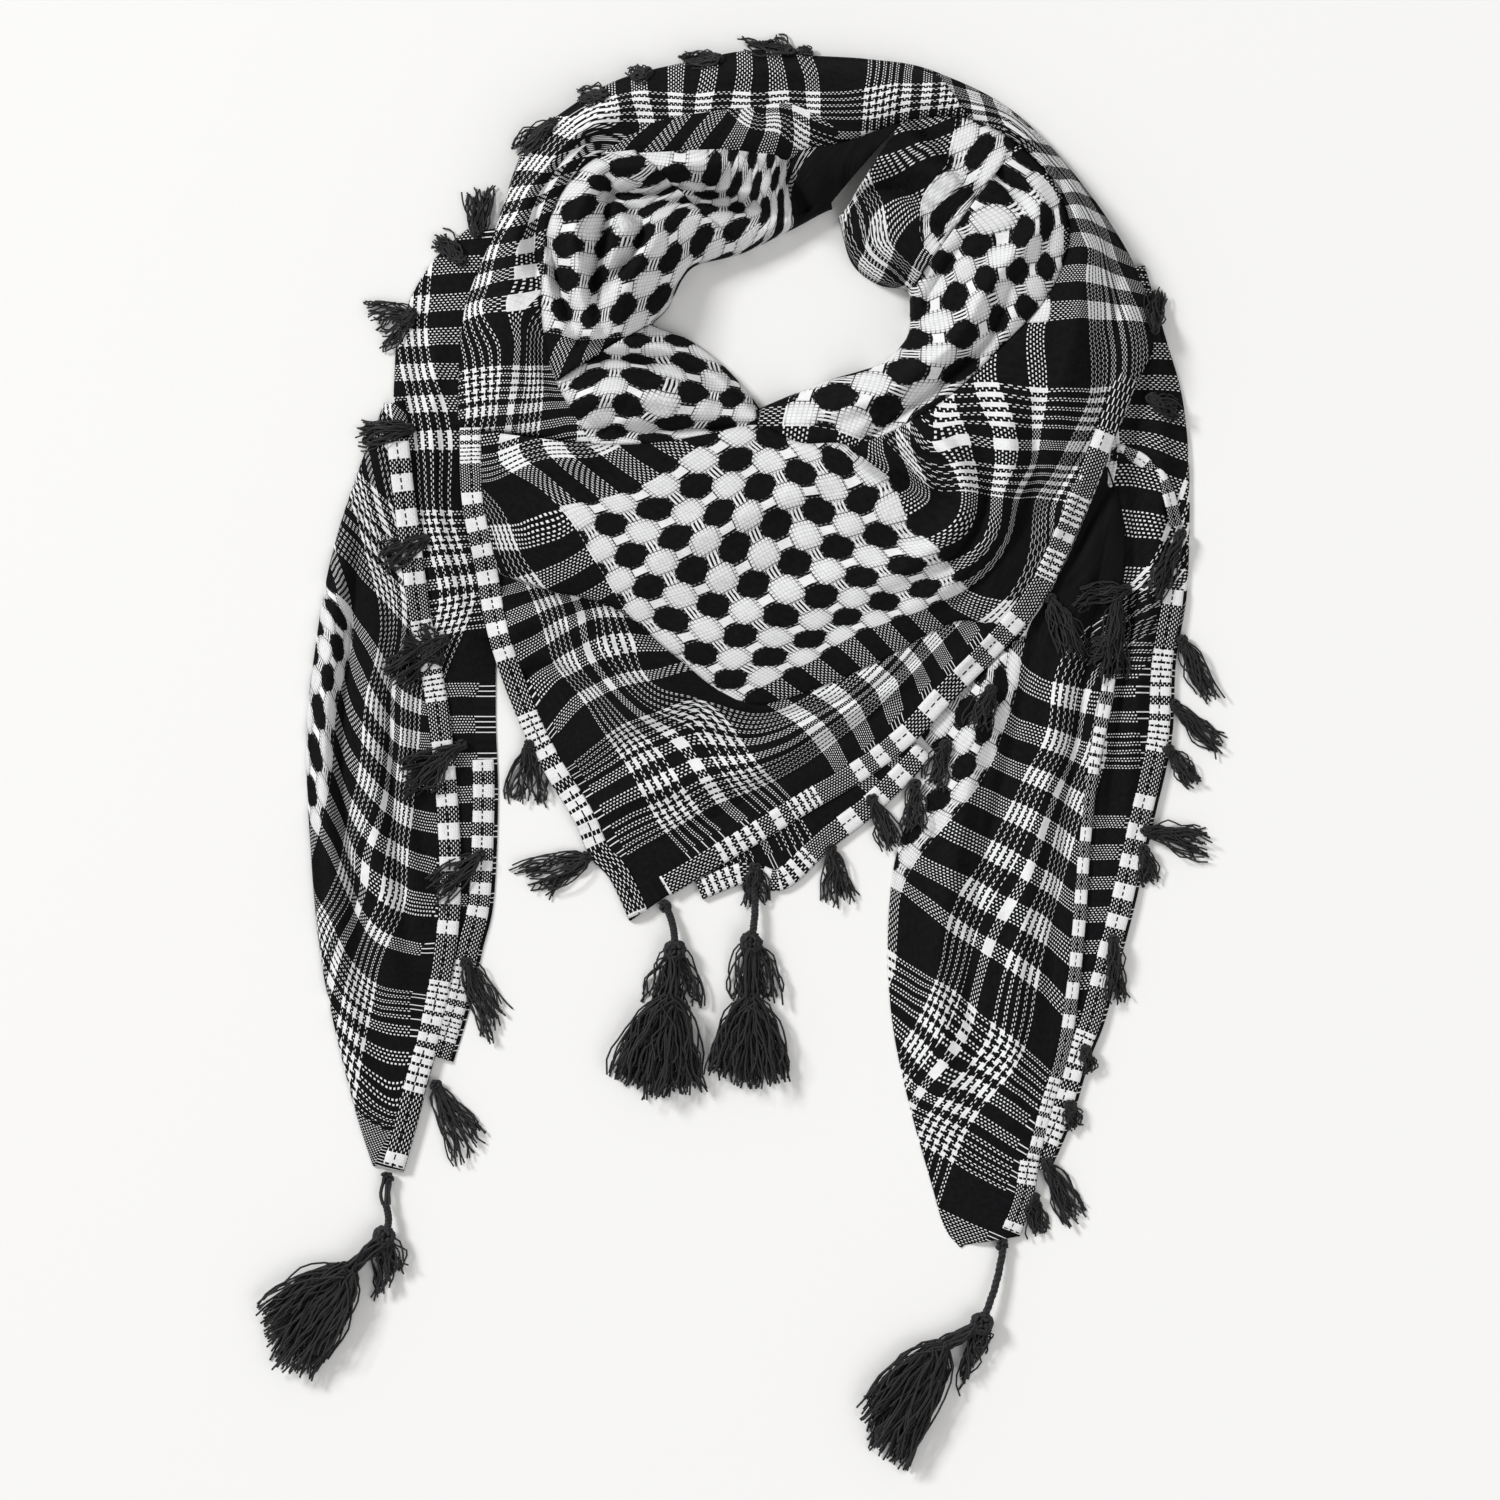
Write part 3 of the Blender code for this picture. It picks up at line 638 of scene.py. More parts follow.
SIDE_LEFT_SPOTS = (
    (462, 960, 75.5, 12), (480, 900, 109.8, 4), (450, 900, 109.8, 22), (485, 830, 140.4, 4),
    (450, 830, 140.4, 26), (488, 760, 171, 4), (455, 760, 171, 26), (488, 690, 201.6, 4),
    (450, 690, 201.6, 28), (480, 600, 240, 30), (420, 620, 236, 60), (460, 520, 275, 30),
    (415, 520, 275, 55), (460, 430, 310, 30), (415, 430, 310, 50), (440, 340, 351, 28),
    (460, 290, 372, 20), (435, 1060, 30, 12),
)
TAIL_RIGHT_SPOTS = (
    (1005, 1255, 0, 0), (934, 1130, 40.5, 45), (985, 1160, 40.5, 22), (1030, 1184, 40.5, 2),
    (930, 1085, 58, 58), (1035, 1140, 58, 3), (903, 980, 75.5, 106), (938, 1000, 75.5, 77.5),
    (1003, 1050, 75.5, 43), (1054, 1094, 75.5, 5), (902, 885, 109.8, 113),
    (958, 930, 109.8, 77.5), (1020, 968, 109.8, 43), (1080, 1022, 109.8, 4),
    (915, 862, 125.1, 112), (975, 893, 125.1, 77.5), (1035, 925, 125.1, 43),
    (1082, 962, 125.1, 6), (935, 822, 140.4, 118), (1000, 855, 140.4, 77.5),
    (1050, 885, 140.4, 43), (1085, 910, 140.4, 8), (963, 790, 155.7, 117),
    (1020, 815, 155.7, 77.5), (1062, 842, 155.7, 43), (985, 755, 171, 117),
    (1036, 778, 171, 77.5), (1075, 800, 171, 43), (1000, 720, 186.3, 115),
    (1055, 742, 186.3, 77.5), (1092, 757, 186.3, 46), (938, 776, 155.7, 135),
    (985, 700, 186.3, 135), (1045, 665, 209, 92), (1090, 682, 207, 62), (1115, 690, 206, 44),
    (1120, 600, 222, 88), (1060, 590, 222, 104), (1110, 500, 225, 102), (1135, 440, 227, 104),
)
SIDE_RIGHT_SPOTS = (
    (1060, 1100, 75.5, 8), (1105, 980, 125, 6), (1135, 815, 205, 6), (1100, 815, 205, 26),
    (1150, 750, 236.5, 6), (1110, 750, 236.5, 30), (1155, 658, 271.5, 10),
    (1115, 658, 271.5, 34), (1175, 600, 298, 58), (1120, 600, 298, 80), (1178, 450, 352, 90),
    (1140, 450, 346, 104), (1160, 350, 398, 92), (1125, 380, 385, 106), (1045, 1160, 45, 5),
    (1150, 520, 323, 92),
)
print("spots on the bib and the front", len(BORDER_SPOTS) + len(FRONT_SPOTS))

# %% [markdown]
# ## From spots to every place
#
# Each mesh point needs its own two distances. Joining the spots by straight lines would give sharp
# turns in the yarns. The spline pulls every place by its distance from all the spots at once, and a
# little slack lets it pass near a spot rather than through it, so small slips in reading fade.

# %% Spline through the spots
SLACK = 30.0


def cloth_place(spots):
    """How far any place is from the two hems, by a thin-plate spline through the spots."""
    spots = np.array(spots, float)
    at = spots[:, :2]

    def pull(here, there):
        apart = np.linalg.norm(here[:, None] - there[None], axis=2)
        return apart ** 2 * np.log(np.maximum(apart, 1e-6))

    count = len(at)
    flat = np.hstack([np.ones((count, 1)), at])
    held = pull(at, at) + SLACK * np.eye(count)
    system = np.block([[held, flat], [flat.T, np.zeros((3, 3))]])
    answer = np.linalg.solve(system, np.vstack([spots[:, 2:], np.zeros((3, 2))]))

    def distances(places):
        """places in metres on the table; the result is metres from each hem."""
        seen = np.stack([places[:, 0] / PIXEL + MIDDLE_X, MIDDLE_Y - places[:, 1] / PIXEL], 1)
        return np.hstack([pull(seen, at), np.ones((len(seen), 1)), seen]) @ answer * MM

    return distances


corner_of_bib = np.array([floor_place(634, 920)])
print("corner of the bib, metres from each hem", cloth_place(BORDER_SPOTS)(corner_of_bib)[0].round(4))

# %% [markdown]
# ## Stretches of cloth
#
# What shows of the scarf are thirteen stretches of one cloth. Each is lofted between a left and a
# right rail and arched between them. Modelled as one sheet they would hide each other's lower
# layers in a knot of mesh, so each is a sheet of its own, and the one above covers the seam.

# %% Plan of the stretches
# left and right: rail, first and last point of it. crown: the arch in millimetres along the stretch.
# add: millimetres on the left and right edge. start: a rail that the first row follows. edges: what
# the left and the right edge do. clear: from which hem on the pattern keeps off the hems, as strips
# of their own lie there. pleat: cloth hidden in a pleat, where it starts and how much, in metres.
STRETCHES = (
    {"name": "side_left", "left": (("side_left_top", 0, 3), ("tail_left_hem", 0, 9)),
     "right": (("outer", 3, 0), ("hem_left", 0, 3), ("side_left_hem", 0, 6)), "crown": (1, 0.5),
     "add": (-1, -2), "spots": SIDE_LEFT_SPOTS, "edges": ("tuck", "floor")},
    {"name": "side_right", "left": (("outer", 14, 16.8), ("tail_right_hem", 0.1, 11)),
     "right": (("side_right_hem", 0, 13),), "crown": (1, 0.5), "add": (-1, 0),
     "spots": SIDE_RIGHT_SPOTS, "edges": ("tuck", "floor")},
    {"name": "tail_left", "clear": 1, "pleat": (0.032, 0.024), "left": (("tail_left_fold", 0, 9),),
     "right": (("tail_left_hem", 0, 9), ("tail_left_tip", 0, 3)), "crown": (2, 2),
     "spots": TAIL_LEFT_SPOTS, "edges": ("floor", "hem")},
    {"name": "tail_right", "clear": 1, "left": (("outer", 17, 19), ("hem_right", 0, 3.7),
     ("tail_right_fold", 0, 9)), "right": (("tail_right_hem", 0, 11), ("tail_right_tip", 0, 2)),
     "crown": (3, 3), "add": (-3, 0), "spots": TAIL_RIGHT_SPOTS, "edges": ("floor", "hem")},
    {"name": "bib_back", "left": (("hem_right", 4, 8),), "right": (("back_hem", 0, 7),),
     "crown": (0, 0), "spots": BACK_SPOTS, "edges": ("tuck", "hem")},
    {"name": "bib_border", "left": (("hem_left", 2, 9),), "right": (("hem_right", 1, 9),),
     "start": (("drape", 0, 8),), "crown": (0, 1.5), "spots": BORDER_SPOTS,
     "edges": ("hem", "hem"), "tuck_start": True},
    {"name": "neck_back", "left": (("crease", 6, 10),), "right": (("hole", 7, 9),),
     "crown": (8, 6), "spots": NECK_BACK_SPOTS, "edges": ("none", "floor")},
    {"name": "neck_left", "left": (("crease", 1, 6),), "right": (("hole", 4, 7),),
     "crown": (13, 11), "spots": NECK_LEFT_SPOTS, "edges": ("none", "floor")},
    {"name": "neck_right_lobe", "left": (("crease", 10, 12),), "right": (("hole", 10, 13),),
     "crown": (6, 11), "spots": NECK_RIGHT_LOBE_SPOTS, "edges": ("none", "floor")},
    {"name": "neck_right_roll", "left": (("crease", 12, 19), ("front", 7, 5)),
     "right": (("hole", 13, 19),), "crown": (12, 4), "spots": NECK_RIGHT_ROLL_SPOTS,
     "edges": ("none", "floor")},
    {"name": "neck_lobe", "left": (("crease", 1, 0), ("front", 2, 5)), "right": (("hole", 4, 0),),
     "crown": (9, 4), "spots": NECK_LOBE_SPOTS, "edges": ("none", "floor")},
    {"name": "front", "left": (("front", 0, 7), ("crease", 19, 10.8)),
     "right": (("drape", 0, 8), ("hem_right", 1, 0), ("outer", 19, 10.8)),
     "start": (("hem_left", 0, 2),), "crown": (6, 6, 5, 8, 9, 7), "spots": FRONT_SPOTS,
     "edges": ("none", "fold"), "nodes": ("bib_field", "shoulder_right", "wrap_right")},
    {"name": "wrap", "left": (("outer", 0, 11.1),), "right": (("crease", 0, 11.1),),
     "crown": (0, 7, 8, 8, 8, 10), "spots": WRAP_SPOTS, "edges": ("floor", "none"),
     "nodes": ("wrap_left", "wrap_top")},
)
print("stretches", len(STRETCHES))

# %% [markdown]
# ## Folds and creases
#
# The folds give the scarf its character, and they were placed one by one where the photograph's
# shading shows them. Each is a line with a rounded ridge along it, or a sharp valley for a crease.
# A sculpting brush could draw them too, but a table is easier to correct and keeps its units.

# %% Folds and creases
# Columns: stretches, half width in millimetres, height in millimetres (less than nothing for a
# crease), and the line it follows in the picture's frame.
FOLDS = (
    ("front", 13, 3.5, ((500, 475), (560, 462), (620, 445), (690, 430))),
    ("front", 9, -3.0, ((485, 450), (530, 446), (600, 446))),
    ("front", 6, -6.5, ((860, 462), (900, 482), (925, 496), (945, 505))),
    ("front", 8, 4.5, ((890, 442), (935, 445), (960, 480), (955, 525), (920, 560), (860, 590))),
    ("front", 6, -3.0, ((975, 430), (985, 480), (975, 530), (940, 575))),
    ("front", 8, 3.5, ((1000, 400), (1006, 460), (995, 515), (962, 572), (910, 610))),
    ("front", 6, -4.5, ((1030, 410), (1030, 470), (1010, 530), (975, 580), (940, 610))),
    ("front", 8, -5.0, ((930, 368), (905, 400), (885, 430), (880, 455))),
    ("front", 7, -3.0, ((1092, 320), (1096, 390), (1080, 440), (1050, 495), (1010, 550))),
    ("front", 8, 3.5, ((1125, 300), (1128, 370), (1108, 440), (1080, 490), (1050, 530))),
    ("front", 10, 3.5, ((1055, 200), (1078, 260), (1072, 330), (1060, 400), (1050, 450))),
    ("front", 6, -5.0, ((1040, 150), (1058, 190), (1056, 240), (1040, 285), (1020, 320))),
    ("front", 5, -2.5, ((1075, 180), (1100, 240), (1112, 300), (1112, 350))),
    ("front", 6, -2.5, ((900, 80), (960, 92), (1020, 118), (1060, 160))),
    ("front", 9, 2.5, ((650, 560), (740, 520), (830, 480))),
    ("front", 9, -2.0, ((640, 620), (740, 590), (860, 545), (930, 545))),
    ("bib_border", 7, 3.5, ((490, 552), (545, 570), (600, 590), (650, 610))),
    ("bib_border", 6, -4.0, ((490, 585), (560, 602), (620, 618), (670, 650))),
    ("bib_border", 9, 4.0, ((500, 650), (530, 620), (575, 628), (620, 660), (680, 692), (740, 705))),
    ("bib_border", 6, -3.5, ((505, 690), (545, 668), (590, 690), (620, 716))),
    ("bib_border", 12, 3.5, ((560, 770), (620, 722), (680, 705), (740, 722), (800, 720))),
    ("bib_border", 6, -3.0, ((680, 690), (740, 714), (800, 712), (870, 690), (930, 650))),
    ("bib_border", 12, 2.5, ((560, 830), (640, 790), (740, 768), (850, 705), (950, 645))),
    ("bib_border", 8, -2.0, ((640, 850), (730, 810), (820, 750), (920, 680))),
    ("bib_border", 7, 2.5, ((930, 690), (980, 640), (1020, 590))),
    ("wrap", 10, 4.0, ((505, 320), (515, 250), (540, 195), (590, 132), (640, 100))),
    ("wrap", 5, -3.0, ((478, 300), (492, 240), (520, 180), (560, 130))),
    ("wrap", 7, -5.0, ((545, 290), (532, 235), (555, 178), (590, 145))),
    ("wrap", 7, -4.0, ((540, 330), (552, 380), (585, 425), (610, 445))),
    ("wrap", 12, 3.5, ((495, 340), (512, 400), (545, 445))),
    ("wrap", 6, -3.0, ((475, 440), (520, 440), (560, 448))),
    ("wrap", 8, 2.5, ((680, 82), (740, 78), (820, 78), (860, 85))),
    ("neck_left", 6, 5.5, ((592, 190), (576, 240), (585, 290), (600, 345))),
    ("neck_left", 6, -8.0, ((600, 198), (640, 197), (680, 186), (705, 166))),
    ("neck_left", 6, -7.0, ((618, 205), (642, 226), (636, 252), (612, 284))),
    ("neck_left", 7, 4.0, ((585, 165), (630, 172), (672, 164))),
    ("neck_back", 6, -8.0, ((686, 188), (730, 203), (768, 212))),
    ("neck_left", 5, -7.5, ((560, 172), (546, 222), (560, 290), (580, 345))),
    ("neck_left", 6, -8.5, ((612, 180), (604, 240), (592, 300), (602, 335))),
    ("neck_left", 8, 3.0, ((655, 240), (632, 285), (618, 312))),
    ("neck_left", 5, -4.0, ((560, 340), (600, 352), (640, 350))),
    ("neck_left neck_back", 8, -8.0, ((630, 212), (690, 205), (745, 214), (780, 220))),
    ("neck_lobe", 6, 4.5, ((610, 346), (670, 352), (715, 378), (745, 400))),
    ("neck_lobe", 4, -4.0, ((600, 360), (650, 367), (690, 384), (725, 405))),
    ("neck_lobe", 9, 4.0, ((575, 405), (640, 398), (700, 408))),
    ("neck_lobe", 6, -5.0, ((555, 425), (620, 434), (700, 430), (760, 432))),
    ("neck_back", 8, 4.5, ((650, 175), (700, 168), (745, 170), (780, 205))),
    ("neck_back", 9, -7.0, ((785, 155), (795, 190), (815, 222))),
    ("neck_back", 6, -5.0, ((640, 192), (700, 186), (750, 192))),
    ("neck_right_lobe", 8, 4.5, ((850, 165), (905, 168), (960, 195))),
    ("neck_right_lobe", 6, -6.0, ((845, 205), (890, 192), (930, 218), (965, 255))),
    ("neck_right_lobe", 8, 3.5, ((855, 228), (890, 258), (930, 278))),
    ("neck_right_lobe", 5, -5.0, ((880, 105), (925, 140), (960, 182), (988, 218))),
    ("neck_right_roll", 8, 4.5,
     ((1032, 195), (1030, 240), (985, 288), (950, 345), (885, 395), (800, 420))),
    ("neck_right_roll", 6, -5.0, ((1005, 290), (990, 335), (950, 375), (900, 415), (855, 450))),
    ("neck_right_roll", 5, -3.5, ((965, 245), (935, 285), (915, 330))),
    ("neck_right_roll", 5, -4.0, ((975, 145), (1000, 185), (1030, 215))),
    ("tail_left", 8, 3.0, ((340, 520), (332, 620), (322, 740), (330, 860), (345, 980), (370, 1100))),
    ("tail_left", 5, -4.0, ((362, 520), (354, 600), (343, 700), (340, 780), (352, 880), (366, 960))),
    ("tail_left", 9, 3.0, ((378, 600), (372, 700), (372, 800), (384, 900), (398, 1000))),
    ("tail_left", 7, 2.5, ((410, 560), (402, 680), (406, 800), (418, 920))),
    ("tail_left", 5, -2.5, ((400, 640), (392, 740), (396, 840), (410, 940))),
    ("side_left", 6, 2.5, ((440, 330), (432, 430), (440, 540), (470, 640))),
    ("side_left", 6, -3.0, ((418, 330), (414, 430), (424, 560))),
    ("tail_right", 9, 3.5, ((1000, 620), (975, 740), (952, 860), (935, 980), (950, 1120))),
    ("tail_right", 6, -3.0, ((1040, 620), (1012, 740), (985, 860), (970, 980), (978, 1100))),
    ("tail_right", 8, 3.0, ((1075, 600), (1052, 740), (1030, 860), (1015, 980), (1010, 1120))),
    ("tail_right", 6, -3.0, ((1105, 540), (1085, 660), (1068, 800), (1055, 920), (1045, 1040))),
    ("tail_right", 7, -3.0, ((1140, 400), (1110, 480), (1070, 560))),
    ("side_right", 7, 3.0, ((1150, 350), (1160, 450), (1150, 580), (1135, 700), (1120, 840))),
    ("side_right", 6, -3.0, ((1125, 380), (1135, 480), (1130, 600), (1118, 720), (1105, 860))),
)
creases = sum(row[2] < 0 for row in FOLDS)
print("folds", len(FOLDS) - creases, "creases", creases)

# %% [markdown]
# ## Smooth rails
#
# A hem runs in a soft curve, while a rail is a few points. A curve through them, each part shaped
# by its neighbours as well, gives points as dense as they are needed. A curve object could do it,
# but its points would have to be read back from a mesh.

# %% Rails as smooth curves
WALK_STEPS = 24


def rail_point(points, index):
    """A point on the smooth curve through a rail's points, at a fractional index."""
    last = len(points) - 1
    start = min(int(index), last - 1)
    part = index - start
    before = Vector(points[max(start - 1, 0)])
    here = Vector(points[start])
    there = Vector(points[start + 1])
    after = Vector(points[min(start + 2, last)])
    square = part * part
    cube = square * part
    return (
        here * (2 * cube - 3 * square + 1) + (there - before) * 0.5 * (cube - 2 * square + part)
        + there * (3 * square - 2 * cube) + (after - here) * 0.5 * (cube - square)
    )


def walk(path):
    """Dense points along one rail after another."""
    points = []
    for rail, first, last in path:
        steps = max(6, int(abs(last - first) * WALK_STEPS))
        for step in range(steps + 1):
            points.append(rail_point(RAILS[rail], first + (last - first) * step / steps))
    return points


def spread(points, count):
    """The same curve as count points at even spacing, as an array."""
    points = np.array([tuple(point) for point in points])
    steps = np.linalg.norm(np.diff(points, axis=0), axis=1)
    reach = np.concatenate([[0.0], np.cumsum(steps)])
    wanted = np.linspace(0.0, reach[-1], count)
    return np.stack([np.interp(wanted, reach, points[:, k]) for k in range(3)], 1)


def path_length(points):
    """How long the line through these points is."""
    return sum((there - here).length for here, there in zip(points, points[1:]))


print("left hem", round(path_length(walk((("hem_left", 0, 9),)))), "mm")

# %% [markdown]
# ## Laying the folds
#
# A fold lifts the cloth near its line and fades out at its ends. A crease pulls some cloth down into
# itself, so the pattern beside it is drawn towards it. That is why the second function gives both
# a height and how far the pattern moves.

# %% Height of the folds
FOLD_STRENGTH = 1.5
FOLD_END = 0.4
CREASE_POWER = 1.5
CREASE_CLOTH = 0.3
CREASE_REACH = 2.5
LINE_STEPS = 6


def line_reach(points, line):
    """How far each point lies from a line, how far along it, from 0 to 1, and which way."""
    places = [(*floor_place(*spot), 0) for spot in line]
    steps = range(LINE_STEPS * (len(line) - 1) + 1)
    path = [tuple(rail_point(places, step / LINE_STEPS))[:2] for step in steps]
    path = np.array(path) / MM
    steps = np.linalg.norm(np.diff(path, axis=0), axis=1)
    before = np.concatenate([[0.0], np.cumsum(steps)])
    nearest = np.full(points.shape[:2], 1e9)
    share = np.zeros(points.shape[:2])
    away = np.zeros(points.shape[:2] + (2,))
    for start, end, length, gone in zip(path, path[1:], steps, before):
        along = np.clip((points[..., :2] - start) @ (end - start) / length ** 2, 0, 1)
        offset = points[..., :2] - start - along[..., None] * (end - start)
        distance = np.linalg.norm(offset, axis=2)
        closer = distance < nearest
        nearest[closer] = distance[closer]
        away[closer] = offset[closer]
        share[closer] = ((gone + along * length) / before[-1])[closer]
    return nearest, share, away / (nearest[..., None] + 0.001)


def lay_folds(name, points):
    """How high the folds lift each point, and how far the creases draw its pattern in."""
    height = np.zeros(points.shape[:2])
    drawn_in = np.zeros(points.shape[:2] + (2,))
    for stretches, half_width, rise, line in FOLDS:
        if name not in stretches.split():
            continue
        distance, share, away = line_reach(points, line)
        ends = np.sin(np.pi * np.clip(share, 0.02, 0.98)) ** FOLD_END
        near = 1 - np.clip(distance / half_width, 0, 1)
        profile = 0.5 - 0.5 * np.cos(np.pi * near) if rise > 0 else near ** CREASE_POWER
        height += FOLD_STRENGTH * rise * profile * ends
        if rise < 0:
            hidden = np.tanh(1.5 * distance / half_width) * ends
            hidden *= np.exp(-(distance / (CREASE_REACH * half_width)) ** 2)
            drawn_in += away * (CREASE_CLOTH * FOLD_STRENGTH * -rise * hidden)[..., None]
    return height, drawn_in


trial = np.array([[(*(np.array(floor_place(560, 462)) / MM), 0.0)]])
print("lift on a fold of the front", round(float(lay_folds("front", trial)[0][0, 0]), 2), "mm")

# %% [markdown]
# ## The form of one stretch
#
# The rows of a grid run from rail to rail and are arched between them. The arch starts steeply, as
# cloth that is bent over layers below does, and a sine with a small power gives that.

# %% Grid of one stretch
ARCH_POWER = 0.7
CLOTH_STEP = 2.0
EDGE_FADE = 3


def stretch_grid(plan):
    """The stretch's points in millimetres, as rows by columns by x, y, z."""
    left_walk = walk(plan["left"])
    right_walk = walk(plan["right"])
    rows = int(max(path_length(left_walk), path_length(right_walk)) / CLOTH_STEP)
    left = spread(left_walk, rows + 1)
    right = spread(right_walk, rows + 1)
    widest = np.linalg.norm((left - right)[:, :2], axis=1).max()
    if plan.get("start"):
        widest = path_length(walk(plan["start"]))
    columns = int(widest / CLOTH_STEP)
    across = np.linspace(0, 1, columns + 1)[None, :]
    along = np.linspace(0, 1, rows + 1)[:, None]
    points = left[:, None, :] * (1 - across[..., None]) + right[:, None, :] * across[..., None]
    if plan.get("start"):
        start = spread(walk(plan["start"]), columns + 1)
        bend = start - (start[0] * (1 - across[0][:, None]) + start[-1] * across[0][:, None])
        points = points + bend[None] * (1 - along[..., None])
    left_add, right_add = plan.get("add", (0, 0))
    crown = np.interp(along, np.linspace(0, 1, len(plan["crown"])), plan["crown"])
    points[:, :, 2] += crown * np.sin(np.pi * across) ** ARCH_POWER
    points[:, :, 2] += left_add * (1 - across) + right_add * across
    edge = np.clip(np.minimum(across, 1 - across) * columns / EDGE_FADE, 0, 1)
    height, drawn_in = lay_folds(plan["name"], points)
    points[:, :, 2] += height * edge
    return points, drawn_in


print("points in the bib's grid", stretch_grid(STRETCHES[5])[0].shape[:2])

# %% [markdown]
# ## Turned edges
#
# A folded edge turns down to what lies beneath it, and a hem turns down to the table. A few extra
# columns of the grid take a quarter turn past the edge. Without them the sheets would look like
# paper that floats over the table.

# %% Turned edges
TURN_STEPS = 5
# Columns: how low the edge goes, in millimetres, and how far it reaches out.
EDGES = {"floor": (0.5, 2.2), "hem": (0.5, 0.8), "fold": (None, 1.8), "tuck": (0.6, 5.0)}
FOLD_DROP = 6
FOLD_LOWEST = 0.8


def turned_edge(points, kind, side):
    """Extra columns past one side, and how far each goes on along the cloth."""
    edge = points[:, 0] if side == "left" else points[:, -1]
    inner = points[:, 2] if side == "left" else points[:, -3]
    away = (edge - inner)[:, :2]
    tangent = np.gradient(edge[:, :2], axis=0)
    normal = np.stack([tangent[:, 1], -tangent[:, 0]], 1)
    normal *= np.sign((normal * away).sum(1, keepdims=True) + 1e-9)
    normal /= np.linalg.norm(normal, axis=1, keepdims=True) + 1e-9
    extra = []
    gone = np.zeros(len(edge))
    before = edge
    drop_to, reach = EDGES[kind]
    if drop_to:
        low = np.minimum(edge[:, 2], drop_to)
    else:
        low = np.maximum(edge[:, 2] - FOLD_DROP, FOLD_LOWEST)
    for step in range(1, TURN_STEPS + 1):
        turn = math.pi / 2 * step / TURN_STEPS
        point = edge.copy()
        point[:, :2] += normal * reach * math.sin(turn)
        point[:, 2] = low + (edge[:, 2] - low) * math.cos(turn)
        gone = gone + np.linalg.norm(point - before, axis=1)
        before = point
        extra.append((point, edge[:, :2] + normal * gone[:, None]))
    return extra


def with_edges(points, drawn_in, edges):
    """The grid with its turned edges, and where each point lies when the cloth is laid flat."""
    flat = points[:, :, :2] + drawn_in
    for side, kind in zip(("left", "right"), edges):
        if kind == "none":
            continue
        extra = turned_edge(points, kind, side)
        more = np.stack([point for point, _ in extra], 1)
        laid = np.stack([place for _, place in extra], 1)
        laid += drawn_in[:, :1] if side == "left" else drawn_in[:, -1:]
        if side == "left":
            points = np.concatenate([more[:, ::-1], points], 1)
            flat = np.concatenate([laid[:, ::-1], flat], 1)
        else:
            points = np.concatenate([points, more], 1)
            flat = np.concatenate([flat, laid], 1)
    return points, flat


print("kinds of edge", list(EDGES))

# %% [markdown] ## One piece of cloth Cloth is thin, and a plane grid is its natural start. Its
# points are moved in code, its places in the check become the UV map, and a solidify modifier,
# applied, gives it its thickness downwards.

# %% One piece of cloth
CLOTH_THICKNESS = 0.5


def make_cloth(name, points, places, nodes=()):
    """A grid moved to points in millimetres, with places in metres from the hems as its UV map."""
    rows, columns = points.shape[:2]
    bpy.ops.mesh.primitive_grid_add(x_subdivisions=columns - 1, y_subdivisions=rows - 1, size=1)
    sheet = bpy.context.object
    sheet.name = name
    sheet.data.vertices.foreach_set("co", (points.reshape(-1, 3) * MM).ravel())
    layer = sheet.data.uv_layers["UVMap"]
    corner = np.zeros(len(sheet.data.loops), int)
    sheet.data.loops.foreach_get("vertex_index", corner)
    layer.uv.foreach_set("vector", places[corner].astype(np.float32).ravel())
    sheet.data.update()
    up = sum(face.normal.z * face.area for face in sheet.data.polygons)
    if up < 0:
        sheet.data.flip_normals()
    sheet.data.shade_smooth()
    thick = sheet.modifiers.new("thickness", "SOLIDIFY")
    thick.thickness = CLOTH_THICKNESS * MM
    thick.offset = -1
    bpy.ops.object.modifier_apply(modifier="thickness")
    sheet.data.materials.append(check_finish)
    if nodes:
        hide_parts(*nodes)
    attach(sheet, "root")
    return sheet


print("cloth", CLOTH_THICKNESS, "mm thick")

# %% [markdown]
# ## Every stretch
#
# Worn cotton is never quite smooth, so two layers of noise crumple it a little, and less where it
# lies low. The bib starts under the fold above it, so its first rows are tucked down.

# %% Every stretch
HEM_CLEAR = 10.5
TUCK_DEPTH = 5.0
TUCK_FADE = 9.0
TUCK_RUN = 3
CRUMPLE_MOST = 1.2
CRUMPLE_PART = 0.12
LOWEST = 0.5
# Columns: waves in a millimetre, share, and the height at which the noise is read.
CRUMPLES = ((0.035, 1.0, 3.0), (0.11, 0.5, 7.0))


def tuck_first_rows(points):
    """Leads the first rows down and back, under the cloth that covers them."""
    sunk = np.exp(-np.arange(len(points)) * CLOTH_STEP / TUCK_FADE)
    points[:, :, 2] -= TUCK_DEPTH * sunk[:, None]
    points[0, :, :2] += (points[0] - points[1])[:, :2] * TUCK_RUN


def crumple_points(points):
    """Small uneven waves, which are weaker where the cloth lies low."""
    for row in points:
        for point in row:
            x, y, z = point
            waves = 0
            for fine, share, level in CRUMPLES:
                waves += share * noise.noise(Vector((x * fine, y * fine, level)))
            point[2] = max(z + waves * min(CRUMPLE_MOST, z * CRUMPLE_PART), LOWEST)


